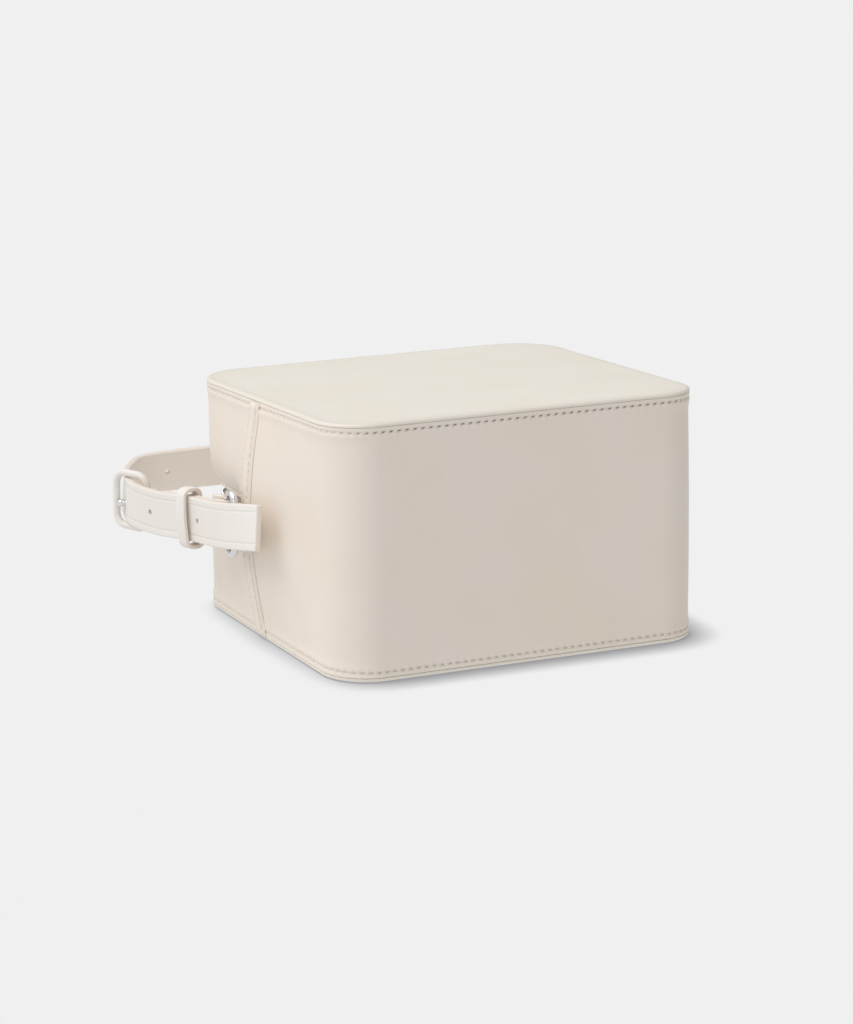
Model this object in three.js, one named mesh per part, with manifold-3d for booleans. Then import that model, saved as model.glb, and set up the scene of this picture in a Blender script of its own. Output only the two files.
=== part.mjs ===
// A leather box bag with a buckled top handle, lying on one of its two large side panels.
// Millimetres. X runs along the bag's base, Y from the base to the zipped mouth, Z up through both panels.

import * as THREE from "three";
import Module from "manifold-3d";
import { mergeVertices } from "three/addons/utils/BufferGeometryUtils.js";

const wasm = await Module();
wasm.setup();

// Overall sizes of the bag
const bagLength = 179.6;
const bagHeight = 164;
const depthAtBase = 113.5;
const depthAtMouth = 106.5;
const middleDrop = 1.75;
const baseCornerRadius = 21;
const mouthCornerRadius = 25;
const leanAlong = -1;
const leanUp = 2;

// Leather and the general clearance between touching pieces
const wallLeather = 2;
const panelLeather = 1.3;
const clearance = 0.35;
const bevelShare = 0.2;

// Side panels
const rolledEdge = 1.7;
const panelCrown = 1.6;

// Gusset walls
const seamFlare = 0.8;
const seamFlareReach = 6;
const seamHeight = 4;
const endBelly = 7;
const straightStep = 14;
const cornerStep = 6;

// Zip in the mouth half of the wall
const zipOpening = 12;
const zipSink = 4.5;
const zipSinkReach = 7;
const zipSinkFade = 24;
const tapeHeight = 24;
const tapeThickness = 1;
const teethHeight = 5;
const teethThickness = 2;
const tapeEndMargin = 2;
const sliderLength = 10;
const sliderHeight = 9;
const sliderNoseHeight = 6.3;
const sliderThickness = 2.6;
const sliderNeck = 1;
const pullLength = 22;
const pullHeight = 7;
const pullThickness = 1.6;
const sliderPlace = 0.26;

// Strips that cover the two end seams
const stripWidth = 10;
const stripThickness = 1.2;

// Metal rings and the tabs that hold them
const ringTall = 31;
const ringWide = 12.5;
const ringWire = 3.4;
const ringCornerRadius = 4.5;
const ringPastSeam = 4;
const tabWidth = 20;
const tabThickness = 1.6;
const tabLength = 11;

// Handle: tongue strap over buckle strap
const strapWidth = 20.5;
const tongueThickness = 3;
const buckleStrapThickness = 2;
const foldLength = 13;
const strapCorner = 1.5;
const tailPastRing = 36;
const tailTowardsBag = 4.1;
const tailRise = 6.2;
const handleReach = 30.5;
const mouthStandOff = 38.5;
const holeDiameter = 2.4;
const holePitch = 38.7;
const firstHole = 17.7;
const holeCount = 4;

// Buckle and keeper
const bucklePlace = 71;
const frameTall = 28.6;
const frameWide = 22;
const frameTube = 3.4;
const frameCornerRadius = 5.5;
const frameTilt = 22;
const tonguePress = 1.5;
const tonguePressReach = 10;
const hingeStrapWidth = 14;
const prongWire = 2.2;
const prongTip = 3.8;
const prongRest = 20;
const prongDroop = 2;
const keeperPlace = 27.7;
const keeperBand = 7;
const keeperThickness = 1.8;
const keeperTall = 28;
const keeperCornerRadius = 3;
const strapStep = 8.5;
const wireSides = 8;
const holeSides = 10;

// Values worked out from the sizes above
const endFace = bagLength / 2;
const mouthFace = bagHeight / 2;
const depthDrop = depthAtBase - depthAtMouth;
const depthAt = (y) => depthAtBase - depthDrop * (y + mouthFace) / bagHeight;
const wallFoot = rolledEdge + clearance;
const lerp = (a, b, t) => a + (b - a) * t;
const bump = (distance, reach) => Math.exp(-((distance / reach) ** 2));
const vec = (x, y, z) => new THREE.Vector3(x, y, z);

const creamLeather = { color: 0xe6e0d8, roughness: 0.42, metalness: 0 };
const shadedLeather = { color: 0xd6cdc2, roughness: 0.46, metalness: 0 };
const zipCloth = { color: 0xcfc5b6, roughness: 0.85, metalness: 0 };
const silverMetal = { color: 0xc9cbd0, roughness: 0.18, metalness: 1 };

const bag = new THREE.Group();

function addPiece(name, geometry, look) {
  const mesh = new THREE.Mesh(geometry, new THREE.MeshStandardMaterial(look));
  mesh.name = name;
  bag.add(mesh);
  return mesh;
}

// A closed solid from matching rings of points. The ends of the row of rings are closed across the ring's
// two halves ("strip"), round its middle ("fan"), or by joining the last ring to the first ("loop").
function solidFromRings(rings, ends) {
  const size = rings[0].length;
  const points = rings.flat();
  const faces = [];
  const id = (ring, k) => (ring % rings.length) * size + ((k + size) % size);
  const quad = (a, b, c, d) => faces.push(a, b, c, a, c, d);
  const spans = ends === "loop" ? rings.length : rings.length - 1;
  for (let r = 0; r < spans; r++) {
    for (let k = 0; k < size; k++) quad(id(r, k), id(r, k + 1), id(r + 1, k + 1), id(r + 1, k));
  }
  for (const [ring, front] of ends === "loop" ? [] : [[0, true], [rings.length - 1, false]]) {
    const face = (a, b, c) => (front ? faces.push(a, c, b) : faces.push(a, b, c));
    if (ends === "strip") {
      for (let k = 0; k < size / 2 - 1; k++) {
        face(id(ring, k), id(ring, k + 1), id(ring, size - 2 - k));
        face(id(ring, k), id(ring, size - 2 - k), id(ring, size - 1 - k));
      }
    } else {
      const middle = rings[ring].reduce((sum, p) => sum.add(p), vec(0, 0, 0)).divideScalar(size);
      points.push(middle);
      for (let k = 0; k < size; k++) face(points.length - 1, id(ring, k), id(ring, k + 1));
    }
  }
  return closedGeometry(points, faces);
}

// Drops faces that have shrunk to a line, merges shared corners and turns the faces outwards.
function closedGeometry(points, faces) {
  const geometry = new THREE.BufferGeometry();
  const numbers = points.flatMap((p) => [p.x, p.y, p.z]);
  geometry.setAttribute("position", new THREE.Float32BufferAttribute(numbers, 3));
  geometry.setIndex(faces);
  const merged = mergeVertices(geometry, 1e-4);
  const index = Array.from(merged.index.array);
  const kept = [];
  let volume = 0;
  const corner = (i) => vec().fromBufferAttribute(merged.attributes.position, i);
  for (let i = 0; i < index.length; i += 3) {
    const [a, b, c] = index.slice(i, i + 3);
    if (a === b || b === c || c === a) continue;
    kept.push([a, b, c]);
    volume += corner(a).dot(corner(b).cross(corner(c)));
  }
  merged.setIndex(kept.flatMap(([a, b, c]) => (volume > 0 ? [a, b, c] : [a, c, b])));
  merged.computeVertexNormals();
  return merged;
}

// The first solid less the others.
function cutAway(geometry, ...cutters) {
  const toSolid = (source) => {
    const bare = source.clone();
    for (const name of Object.keys(bare.attributes)) if (name !== "position") bare.deleteAttribute(name);
    const merged = mergeVertices(bare, 1e-4);
    const vertProperties = new Float32Array(merged.attributes.position.array);
    const triVerts = new Uint32Array(merged.index.array);
    return new wasm.Manifold(new wasm.Mesh({ numProp: 3, vertProperties, triVerts }));
  };
  const result = cutters.reduce((solid, cutter) => solid.subtract(toSolid(cutter)), toSolid(geometry));
  const mesh = result.getMesh();
  const cut = new THREE.BufferGeometry();
  cut.setAttribute("position", new THREE.BufferAttribute(new Float32Array(mesh.vertProperties), 3));
  cut.setIndex(new THREE.BufferAttribute(new Uint32Array(mesh.triVerts), 1));
  cut.computeVertexNormals();
  return cut;
}

// The bag's outline, counter-clockwise from the left end seam round the base to the left end seam again.
function bagOutline() {
  const path = new THREE.Path();
  const base = baseCornerRadius;
  const mouth = mouthCornerRadius;
  path.moveTo(-endFace, seamHeight);
  path.lineTo(-endFace, -mouthFace + base);
  path.absarc(-endFace + base, -mouthFace + base, base, Math.PI, Math.PI * 1.5);
  path.lineTo(endFace - base, -mouthFace);
  path.absarc(endFace - base, -mouthFace + base, base, -Math.PI / 2, 0);
  path.lineTo(endFace, mouthFace - mouth);
  path.absarc(endFace - mouth, mouthFace - mouth, mouth, 0, Math.PI / 2);
  path.lineTo(-endFace + mouth, mouthFace);
  path.absarc(-endFace + mouth, mouthFace - mouth, mouth, Math.PI / 2, Math.PI);
  path.lineTo(-endFace, seamHeight);
  return path;
}

const outline = bagOutline();
const outlineLength = outline.getLength();
// How far along the outline the right end seam lies
const mainGirth = 2 * (seamHeight + mouthFace) + bagLength - (4 - Math.PI) * baseCornerRadius;

// A place on the outline: its point, its outward direction and its distance along the outline.
function station(distance) {
  const share = THREE.MathUtils.euclideanModulo(distance / outlineLength, 1);
  const point = outline.getPointAt(share);
  const tangent = outline.getTangentAt(share);
  return { distance: share * outlineLength, point, out: new THREE.Vector2(tangent.y, -tangent.x) };
}

// Places along a stretch of the outline, closer together round its corners.
function stations(from, to) {
  const distances = [from];
  let start = 0;
  for (const curve of outline.curves) {
    const length = curve.getLength();
    const count = Math.ceil(length / (curve.isLineCurve ? straightStep : cornerStep));
    for (let i = 0; i < count; i++) distances.push(start + i * length / count);
    start += length;
  }
  const inside = distances.filter((d, i) => i === 0 || (d > from + 1 && d < to - 1));
  return [...inside, to].map(station);
}

// How far the wall stands out (+) or sinks in (-) at half depth, as shares of the belly of the ends.
// "along" runs from one end seam (0) to the other (1).
const mainBows = [
  { along: 0.0, bow: 1.0 },
  { along: 0.09, bow: 0.55 },
  { along: 0.2, bow: 0.08 },
  { along: 0.35, bow: 0.02 },
  { along: 0.5, bow: -0.04 },
  { along: 0.65, bow: 0.02 },
  { along: 0.8, bow: 0.08 },
  { along: 0.91, bow: 0.55 },
  { along: 1.0, bow: 1.0 },
];
const mouthBows = [
  { along: 0.0, bow: 1.0 },
  { along: 0.08, bow: 0.5 },
  { along: 0.22, bow: 0.0 },
  { along: 0.36, bow: -0.06 },
  { along: 0.5, bow: -0.1 },
  { along: 0.64, bow: -0.06 },
  { along: 0.78, bow: 0.0 },
  { along: 0.92, bow: 0.5 },
  { along: 1.0, bow: 1.0 },
];

function bowAt(rows, along) {
  const last = rows.length - 1;
  const next = THREE.MathUtils.clamp(rows.findIndex((row) => row.along >= along), 1, last);
  const [a, b] = [rows[next - 1], rows[next]];
  return lerp(a.bow, b.bow, THREE.MathUtils.smoothstep(along, a.along, b.along)) * endBelly;
}

const onMainHalf = (distance) => distance <= mainGirth;
const seamDistance = (distance) => Math.min(Math.abs(distance - mainGirth), outlineLength - distance);
const zipFade = (distance) => THREE.MathUtils.smoothstep(seamDistance(distance), 0, zipSinkFade);

function halfDepthBow(distance) {
  if (onMainHalf(distance)) return bowAt(mainBows, distance / mainGirth);
  return bowAt(mouthBows, (distance - mainGirth) / (outlineLength - mainGirth));
}

const zipSinkAt = (distance, fromZip) => zipSink * bump(fromZip, zipSinkReach) * zipFade(distance);

// Height of the zip and the rings, which lie a little below the middle between the two side panels
const midLevel = (y) => depthAt(y) / 2 - middleDrop;

// A point of the wall: "height" is measured up from the floor, "inset" into the bag from its outer face.
function wallPoint(place, height, inset) {
  const top = depthAt(place.point.y);
  const share = height / top;
  const nearSeam = bump(Math.min(height, top - height), seamFlareReach);
  const bow = halfDepthBow(place.distance) * Math.sin(Math.PI * share) + seamFlare * (nearSeam - 1);
  const sink = onMainHalf(place.distance)
    ? 0
    : zipSinkAt(place.distance, Math.max(0, Math.abs(height - midLevel(place.point.y)) - zipOpening / 2));
  const off = bow - sink - inset;
  return vec(
    place.point.x + place.out.x * off + leanAlong * share,
    place.point.y + place.out.y * off + leanUp * share,
    height,
  );
}

// A leather wall between two heights that may change along it.
function wallSolid(places, lowAt, highAt, rows, inset, thickness) {
  const rings = places.map((place) => {
    const heights = rows.map((share) => lerp(lowAt(place), highAt(place), share));
    const outer = heights.map((height) => wallPoint(place, height, inset));
    const inner = heights.map((height) => wallPoint(place, height, inset + thickness)).reverse();
    return [...outer, ...inner];
  });
  return solidFromRings(rings, "strip");
}

// Rows of the walls from foot to top, closer together where the leather curls
const fullRows = [0, 0.04, 0.1, 0.22, 0.36, 0.5, 0.64, 0.78, 0.9, 0.96, 1];
const lowerFlapRows = [0, 0.09, 0.24, 0.5, 0.74, 0.9, 1];
const upperFlapRows = lowerFlapRows.map((share) => 1 - share).reverse();

const wallTop = (place) => depthAt(place.point.y) - wallFoot;
const wallBottom = () => wallFoot;
const zipLow = (place) => midLevel(place.point.y) - zipOpening / 2;
const zipHigh = (place) => midLevel(place.point.y) + zipOpening / 2;

// Side panels: a flat or crowned sheet whose rim is rolled towards the wall.
// "share" is how far each contour lies from the panel's middle, "rise" the part of the crown left there.
const crownContours = [
  { share: 0.25, rise: 1.0 },
  { share: 0.6, rise: 0.72 },
  { share: 0.85, rise: 0.3 },
  { share: 1.0, rise: 0.0 },
];
const flatContours = [{ share: 1.0, rise: 0.0 }];
const rollAngles = [0.5, 1].map((share) => share * Math.PI / 2);

function panelSolid(crown, contours, toPlace) {
  const places = stations(0, outlineLength).slice(0, -1);
  const contour = (inset, share, level) => places.map(({ point, out }) => toPlace(
    (point.x - out.x * inset) * share,
    (point.y - out.y * inset) * share,
    level,
  ));
  const innerRoll = rolledEdge - panelLeather;
  const sheet = (level) => contours.map((row) => contour(rolledEdge, row.share, crown * row.rise + level));
  const roll = (radius) => rollAngles.map((angle) => (
    contour(rolledEdge - radius * Math.sin(angle), 1, radius * Math.cos(angle) - rolledEdge)
  ));
  const outer = [...sheet(0), ...roll(rolledEdge)];
  const inner = [...sheet(-panelLeather), ...roll(innerRoll)];
  return solidFromRings([...outer, ...inner.reverse()], "fan");
}

// Panel coordinates count up away from the bag's middle plane
const lowerPanelPlace = (x, y, level) => vec(x, y, -level);
const upperPanelPlace = (x, y, level) => vec(x + leanAlong, y + leanUp, depthAt(y) + level);

addPiece("side_panel_lower", panelSolid(0, flatContours, lowerPanelPlace), creamLeather);
addPiece("side_panel_upper", panelSolid(panelCrown, crownContours, upperPanelPlace), creamLeather);

// Main gusset: the base and the near half of both ends in one piece of leather.
const seamGap = clearance / 2;
const mainPlaces = stations(seamGap, mainGirth - seamGap);
const mainGusset = wallSolid(mainPlaces, wallBottom, wallTop, fullRows, 0, wallLeather);
addPiece("main_gusset", mainGusset, shadedLeather);

// Zip gusset: two flaps round the far half of both ends and the mouth, with the zip between them.
const mouthPlaces = stations(mainGirth + seamGap, outlineLength - seamGap);
const lowerFlap = wallSolid(mouthPlaces, wallBottom, zipLow, lowerFlapRows, 0, wallLeather);
const upperFlap = wallSolid(mouthPlaces, zipHigh, wallTop, upperFlapRows, 0, wallLeather);
addPiece("zip_gusset_lower", lowerFlap, shadedLeather);
addPiece("zip_gusset_upper", upperFlap, shadedLeather);

// Zip tape and teeth: bands behind the flaps, as far in as the flaps' edges or further.
function zipBand(from, to, height, rises, inset, thickness) {
  const rings = stations(from, to).map((place) => {
    const middle = midLevel(place.point.y);
    const standing = (point) => point.x * place.out.x + point.y * place.out.y;
    const at = (rise, depth) => {
      const level = middle + rise * height / 2;
      const edge = wallPoint(place, middle, depth);
      const own = wallPoint(place, level, depth);
      const further = standing(own) < standing(edge) ? own : edge;
      return vec(further.x, further.y, level);
    };
    const outer = rises.map((rise) => at(rise, inset));
    const inner = rises.map((rise) => at(rise, inset + thickness)).reverse();
    return [...outer, ...inner];
  });
  return solidFromRings(rings, "strip");
}

const tapeInset = wallLeather + 2 * clearance;
const tapeStart = mainGirth + seamGap + tapeEndMargin;
const tapeEnd = outlineLength - seamGap - tapeEndMargin;
const teethInset = tapeInset - clearance - teethThickness;
const tapeRises = [-1, -0.75, -0.5, 0.5, 0.75, 1];
const zipTape = zipBand(tapeStart, tapeEnd, tapeHeight, tapeRises, tapeInset, tapeThickness);
const zipTeeth = zipBand(tapeStart, tapeEnd, teethHeight, [-1, 1], teethInset, teethThickness);
addPiece("zip_tape", zipTape, zipCloth);
addPiece("zip_teeth", zipTeeth, silverMetal);

// Zip slider: one plain piece, a body over the teeth with its pull lying along the zip.
function sliderSolid() {
  const centre = lerp(tapeStart, tapeEnd, sliderPlace);
  const profile = [
    { along: -sliderLength / 2, height: sliderHeight, thickness: sliderThickness },
    { along: sliderLength / 2, height: sliderNoseHeight, thickness: sliderThickness },
    { along: sliderLength / 2 + sliderNeck, height: pullHeight, thickness: pullThickness },
    { along: sliderLength / 2 + pullLength, height: pullHeight, thickness: pullThickness },
  ];
  const rings = profile.map((row) => {
    const place = station(centre + row.along);
    const middle = midLevel(place.point.y);
    const foot = teethInset - 2 * clearance;
    const inner = wallPoint(place, middle, foot);
    const outer = wallPoint(place, middle, foot - row.thickness);
    const at = (point, rise) => vec(point.x, point.y, middle + rise * row.height / 2);
    return [at(outer, -1), at(outer, 1), at(inner, 1), at(inner, -1)];
  });
  return solidFromRings(rings, "strip");
}
addPiece("zip_slider", sliderSolid(), silverMetal);

// End strips: a band of leather over each end seam.
function endStrip(seam) {
  const places = [-1, 0, 1].map((side) => station(seam + side * stripWidth / 2));
  return wallSolid(places, wallBottom, wallTop, fullRows, -clearance - stripThickness, stripThickness);
}
addPiece("end_strip_left", endStrip(outlineLength), shadedLeather);
addPiece("end_strip_right", endStrip(mainGirth), shadedLeather);

// Where the hardware of the two ends sits: "side" is -1 on the left and 1 on the right, "out" is measured
// from the flat end face outwards, "along" from the base towards the mouth.
const ringPlace = seamHeight + ringPastSeam;
const ringLevel = midLevel(ringPlace);
const onEnd = (side, out, along, height) => (
  vec(side * (endFace + out) + leanAlong / 2, along + leanUp / 2, height)
);

const stripOut = endBelly - seamFlare + clearance + stripThickness;
const tabFoldRadius = (ringWire + tabThickness) / 2 + clearance;
const ringOut = stripOut + clearance + tabThickness / 2 + tabFoldRadius;
const ringBarOffset = (ringWide - ringWire) / 2;

// A closed loop of wire, leather or band: "across" and "up" span its plane, the section is given as pairs of
// a distance away from the loop's middle and a distance along the loop's axis.
function loopSolid(centre, across, up, wide, tall, corner, section) {
  const axis = across.clone().cross(up);
  const path = new THREE.Path();
  const [w, h] = [wide / 2, tall / 2];
  path.absarc(w - corner, h - corner, corner, 0, Math.PI / 2);
  path.absarc(corner - w, h - corner, corner, Math.PI / 2, Math.PI);
  path.absarc(corner - w, corner - h, corner, Math.PI, Math.PI * 1.5);
  path.absarc(w - corner, corner - h, corner, Math.PI * 1.5, Math.PI * 2);
  const turn = 4;
  const rings = path.curves.filter((curve) => curve.isEllipseCurve).flatMap((curve) => (
    Array.from({ length: turn + 1 }, (_, i) => {
      const angle = lerp(curve.aStartAngle, curve.aEndAngle, i / turn);
      const point = curve.getPoint(i / turn);
      const away = across.clone().multiplyScalar(Math.cos(angle)).addScaledVector(up, Math.sin(angle));
      const middle = centre.clone().addScaledVector(across, point.x).addScaledVector(up, point.y);
      return section.map(([outward, along]) => (
        middle.clone().addScaledVector(away, outward).addScaledVector(axis, along)
      ));
    })
  ));
  return solidFromRings(rings, "loop");
}

const roundSection = (radius, sides) => Array.from({ length: sides }, (_, i) => {
  const angle = (i + 0.5) / sides * 2 * Math.PI;
  return [radius * Math.cos(angle), radius * Math.sin(angle)];
});
const flatSection = (thickness, width) => [
  [-thickness / 2, -width / 2],
  [thickness / 2, -width / 2],
  [thickness / 2, width / 2],
  [-thickness / 2, width / 2],
];

// A flat band of leather with bevelled edges along a row of points. Each point has the direction of the
// band's width, and may have a smaller half width of its own.
function bandSolid(rows, width, thickness) {
  const edge = thickness * bevelShare;
  const rings = rows.map((row, i) => {
    const before = rows[Math.max(0, i - 1)].point;
    const after = rows[Math.min(rows.length - 1, i + 1)].point;
    const along = after.clone().sub(before).normalize();
    const out = row.up.clone().cross(along).normalize();
    const up = along.clone().cross(out);
    const half = row.half ?? width / 2;
    const rise = thickness / 2;
    return [
      [-half, -rise + edge],
      [-half + edge, -rise],
      [half - edge, -rise],
      [half, -rise + edge],
      [half, rise - edge],
      [half - edge, rise],
      [-half + edge, rise],
      [-half, rise - edge],
    ].map(([across, away]) => row.point.clone().addScaledVector(up, across).addScaledVector(out, away));
  });
  return solidFromRings(rings, "strip");
}

// Angles of the turn of a fold round its bar, from the inner layer to the outer one, in degrees
const foldAngles = [-80, -52, -26, 0, 26, 52, 90];

// The leather fold round a bar: from the end of its inner layer, which lies close under the outer one, round
// the bar, to the start of its outer layer. "along" points from the bar down the strap and "out" to the
// strap's outer side.
function foldRound(bar, along, out, up, radius, thickness, length) {
  const under = radius - thickness - clearance;
  const at = (alongBy, outBy) => ({
    point: bar.clone().addScaledVector(along, alongBy).addScaledVector(out, outBy),
    up,
  });
  const innerLayer = [
    at(length, under),
    at(length * 0.75, under * 0.6),
    at(length * 0.4, -radius * 0.7),
  ];
  const turn = foldAngles.map((degrees) => {
    const angle = THREE.MathUtils.degToRad(degrees);
    return at(-radius * Math.cos(angle), radius * Math.sin(angle));
  });
  return [...innerLayer, ...turn];
}

const zUp = vec(0, 0, 1);
for (const [sideName, side] of [["left", -1], ["right", 1]]) {
  const along = vec(0, 1, 0);
  const out = vec(side, 0, 0);
  const centre = onEnd(side, ringOut, ringPlace, ringLevel);
  const ring = loopSolid(centre, along, zUp, ringWide - ringWire, ringTall - ringWire, ringCornerRadius,
    roundSection(ringWire / 2, wireSides));
  addPiece(`ring_${sideName}`, ring, silverMetal);

  const bar = onEnd(side, ringOut, ringPlace - ringBarOffset, ringLevel);
  const outerLayer = -tabFoldRadius + tabThickness + clearance;
  const turn = foldRound(bar, along.clone().negate(), out, zUp, tabFoldRadius, tabThickness, tabLength);
  const layerRow = (share, height) => ({
    point: bar.clone().addScaledVector(along, -share * tabLength).addScaledVector(out, height),
    up: zUp,
  });
  const tab = [
    ...[1, 0.5, 0.1].map((share) => layerRow(share, -tabFoldRadius)),
    ...turn.slice(-foldAngles.length),
    layerRow(0.28, tabFoldRadius * 0.8),
    layerRow(0.62, outerLayer),
    layerRow(1, outerLayer),
  ];
  addPiece(`ring_tab_${sideName}`, bandSolid(tab, tabWidth, tabThickness), shadedLeather);
}

// The handle's route along the middle of the tongue strap, from over the left ring, round behind the mouth,
// to the right ring. "side" is a share of the half length, "stack" of the layers between end face and strap,
// "reach" of what the handle stands out beyond them, "level" of the way from ring to mouth, "rise" of the
// stand-off beyond the mouth, "deep" of the rings' height, and "lean" tips the strap, in degrees.
const strapStack = ringOut + ringWire / 2 + buckleStrapThickness + tongueThickness / 2 + 2 * clearance;
const tailLean = -9;
const handleRoute = [
  { side: -1, stack: -1, reach: 0, level: 0, rise: 0, deep: 1, lean: 0 },
  { side: -1, stack: -1, reach: -0.26, level: 0.365, rise: 0, deep: 0.95, lean: 0 },
  { side: -1, stack: -1, reach: -0.72, level: 0.7, rise: 0, deep: 0.905, lean: 0 },
  { side: -1, stack: -1, reach: -1, level: 0.93, rise: 0, deep: 0.905, lean: 0 },
  { side: -1, stack: -1, reach: -1, level: 1, rise: 0.2, deep: 0.915, lean: 0 },
  { side: -1, stack: -1, reach: -0.76, level: 1, rise: 0.5, deep: 0.93, lean: -4 },
  { side: -1, stack: -1, reach: -0.22, level: 1, rise: 0.77, deep: 0.945, lean: -8 },
  { side: -1, stack: -0.9, reach: 0, level: 1, rise: 0.92, deep: 0.955, lean: -10 },
  { side: -1.1, stack: 0, reach: 0, level: 1, rise: 1, deep: 0.965, lean: -12 },
  { side: -0.92, stack: 0, reach: 0, level: 1, rise: 0.985, deep: 0.98, lean: -12 },
  { side: -0.67, stack: 0, reach: 0, level: 1, rise: 0.88, deep: 1, lean: -12 },
  { side: -0.34, stack: 0, reach: 0, level: 1, rise: 0.77, deep: 1, lean: -10 },
  { side: 0, stack: 0, reach: 0, level: 1, rise: 0.71, deep: 1, lean: -8 },
  { side: 0.45, stack: 0, reach: 0, level: 1, rise: 0.71, deep: 1, lean: -6 },
  { side: 0.84, stack: 0, reach: 0, level: 1, rise: 0.66, deep: 1, lean: -4 },
  { side: 1.07, stack: 0, reach: 0, level: 1, rise: 0.44, deep: 1, lean: -2 },
  { side: 1, stack: 0.87, reach: 0, level: 1, rise: 0, deep: 1, lean: 0 },
  { side: 1, stack: 1.08, reach: 0, level: 0.7, rise: 0, deep: 1, lean: 0 },
  { side: 1, stack: 1, reach: 0, level: 0.36, rise: 0, deep: 1, lean: 0 },
];

function routePoint(row) {
  const x = row.side * endFace + row.stack * strapStack + row.reach * (handleReach - strapStack);
  const y = lerp(ringPlace, mouthFace, row.level) + row.rise * mouthStandOff;
  return vec(x + leanAlong / 2, y + leanUp / 2, row.deep * ringLevel);
}

const tailPoint = onEnd(-1, strapStack - tailTowardsBag, ringPlace - tailPastRing, ringLevel + tailRise);
const tongueFoldRadius = (ringWire + tongueThickness) / 2 + clearance;
const rightBar = onEnd(1, ringOut, ringPlace + ringBarOffset, ringLevel);
const landing = rightBar.clone().add(vec(tongueFoldRadius, foldLength, 0));
const handleCurve = new THREE.CatmullRomCurve3(
  [tailPoint, ...handleRoute.map(routePoint), landing],
  false,
  "centripetal",
);
handleCurve.arcLengthDivisions = 800;
const handleLength = handleCurve.getLength();

// The share of the handle's length that lies nearest to a point.
function nearestShare(target) {
  const steps = 2000;
  const shares = Array.from({ length: steps + 1 }, (_, i) => i / steps);
  const away = (share) => handleCurve.getPointAt(share).distanceTo(target);
  return shares.reduce((best, share) => (away(share) < away(best) ? share : best), 0);
}

// Distances along the handle are counted from over the left ring.
const ringShare = nearestShare(routePoint(handleRoute[0]));

function leanAt(share) {
  const place = handleCurve.getUtoTmapping(share) * (handleRoute.length + 1) - 1;
  if (place < 0) return lerp(tailLean, handleRoute[0].lean, THREE.MathUtils.clamp(place + 1, 0, 1));
  const low = Math.min(Math.floor(place), handleRoute.length - 1);
  const high = Math.min(low + 1, handleRoute.length - 1);
  return lerp(handleRoute[low].lean, handleRoute[high].lean, THREE.MathUtils.clamp(place - low, 0, 1));
}

// The strap's directions at a distance from the left ring: along it, out of the loop, and up its width.
function strapFrame(distance) {
  const share = THREE.MathUtils.clamp(ringShare + distance / handleLength, 0, 1);
  const point = handleCurve.getPointAt(share);
  const along = handleCurve.getTangentAt(share);
  const flat = zUp.clone().cross(along).normalize();
  const lean = THREE.MathUtils.degToRad(leanAt(share));
  const leaning = zUp.clone().multiplyScalar(Math.cos(lean)).addScaledVector(flat, Math.sin(lean));
  const out = leaning.clone().cross(along).normalize();
  return { point, along, out, up: along.clone().cross(out) };
}
const beside = (frame, outBy, alongBy = 0) => (
  frame.point.clone().addScaledVector(frame.out, outBy).addScaledVector(frame.along, alongBy)
);

// Buckle frame: a rounded frame set along the strap, its hinge bar inside the strap and its free bar outside.
const hinge = strapFrame(bucklePlace);
const hingeDepth = tongueThickness / 2 + buckleStrapThickness + frameTube / 2 + 2 * clearance;
const hingePoint = beside(hinge, -hingeDepth);
const tilt = THREE.MathUtils.degToRad(frameTilt);
const frameAlong = hinge.along.clone().multiplyScalar(Math.cos(tilt))
  .addScaledVector(hinge.out, Math.sin(tilt));
const frameUp = hinge.up;
const frameOut = frameUp.clone().cross(frameAlong);
const frameSpan = frameWide - frameTube;
const frameCentre = hingePoint.clone().addScaledVector(frameAlong, frameSpan / 2);
const buckleFrame = loopSolid(frameCentre, frameAlong, frameUp, frameSpan, frameTall - frameTube,
  frameCornerRadius, roundSection(frameTube / 2, wireSides));
addPiece("buckle_frame", buckleFrame, creamLeather);

// Prong: a rod from the hinge bar, out through a hole of the tongue strap, to its tip on the free bar.
const prongStart = hingePoint.clone().addScaledVector(frameAlong, frameTube / 2 + clearance);
const restAngle = THREE.MathUtils.degToRad(prongRest);
const tipAway = (frameTube + prongTip) / 2 + clearance;
const prongEnd = hingePoint.clone().addScaledVector(frameAlong, frameSpan - tipAway * Math.cos(restAngle))
  .addScaledVector(frameOut, tipAway * Math.sin(restAngle))
  .addScaledVector(frameUp, -prongDroop);
const prongBend = prongStart.clone().lerp(prongEnd, 0.5).addScaledVector(frameOut, -prongWire * 0.4);
const prongCurve = new THREE.QuadraticBezierCurve3(prongStart, prongBend, prongEnd);

function prongSolid(spare) {
  const wire = prongWire / 2 + spare;
  const tip = prongTip / 2 + spare;
  const reach = prongCurve.getLength();
  const shaft = [0, 0.3, 0.6, 0.85].map((share) => ({ share, radius: wire }));
  const ball = [150, 120, 90, 60, 30, 8].map((degrees) => {
    const angle = THREE.MathUtils.degToRad(degrees);
    return { share: 1 + tip * Math.cos(angle) / reach, radius: tip * Math.sin(angle) };
  });
  const rings = [...shaft, ...ball].map(({ share, radius }) => {
    const middle = prongCurve.getPointAt(Math.min(share, 1));
    const along = prongCurve.getTangentAt(Math.min(share, 1));
    middle.addScaledVector(along, Math.max(0, share - 1) * reach);
    const out = frameUp.clone().cross(along).normalize();
    return roundSection(radius, wireSides).map(([a, b]) => (
      middle.clone().addScaledVector(out, a).addScaledVector(frameUp, b)
    ));
  });
  return solidFromRings(rings, "fan");
}
addPiece("buckle_prong", prongSolid(0), silverMetal);

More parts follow.
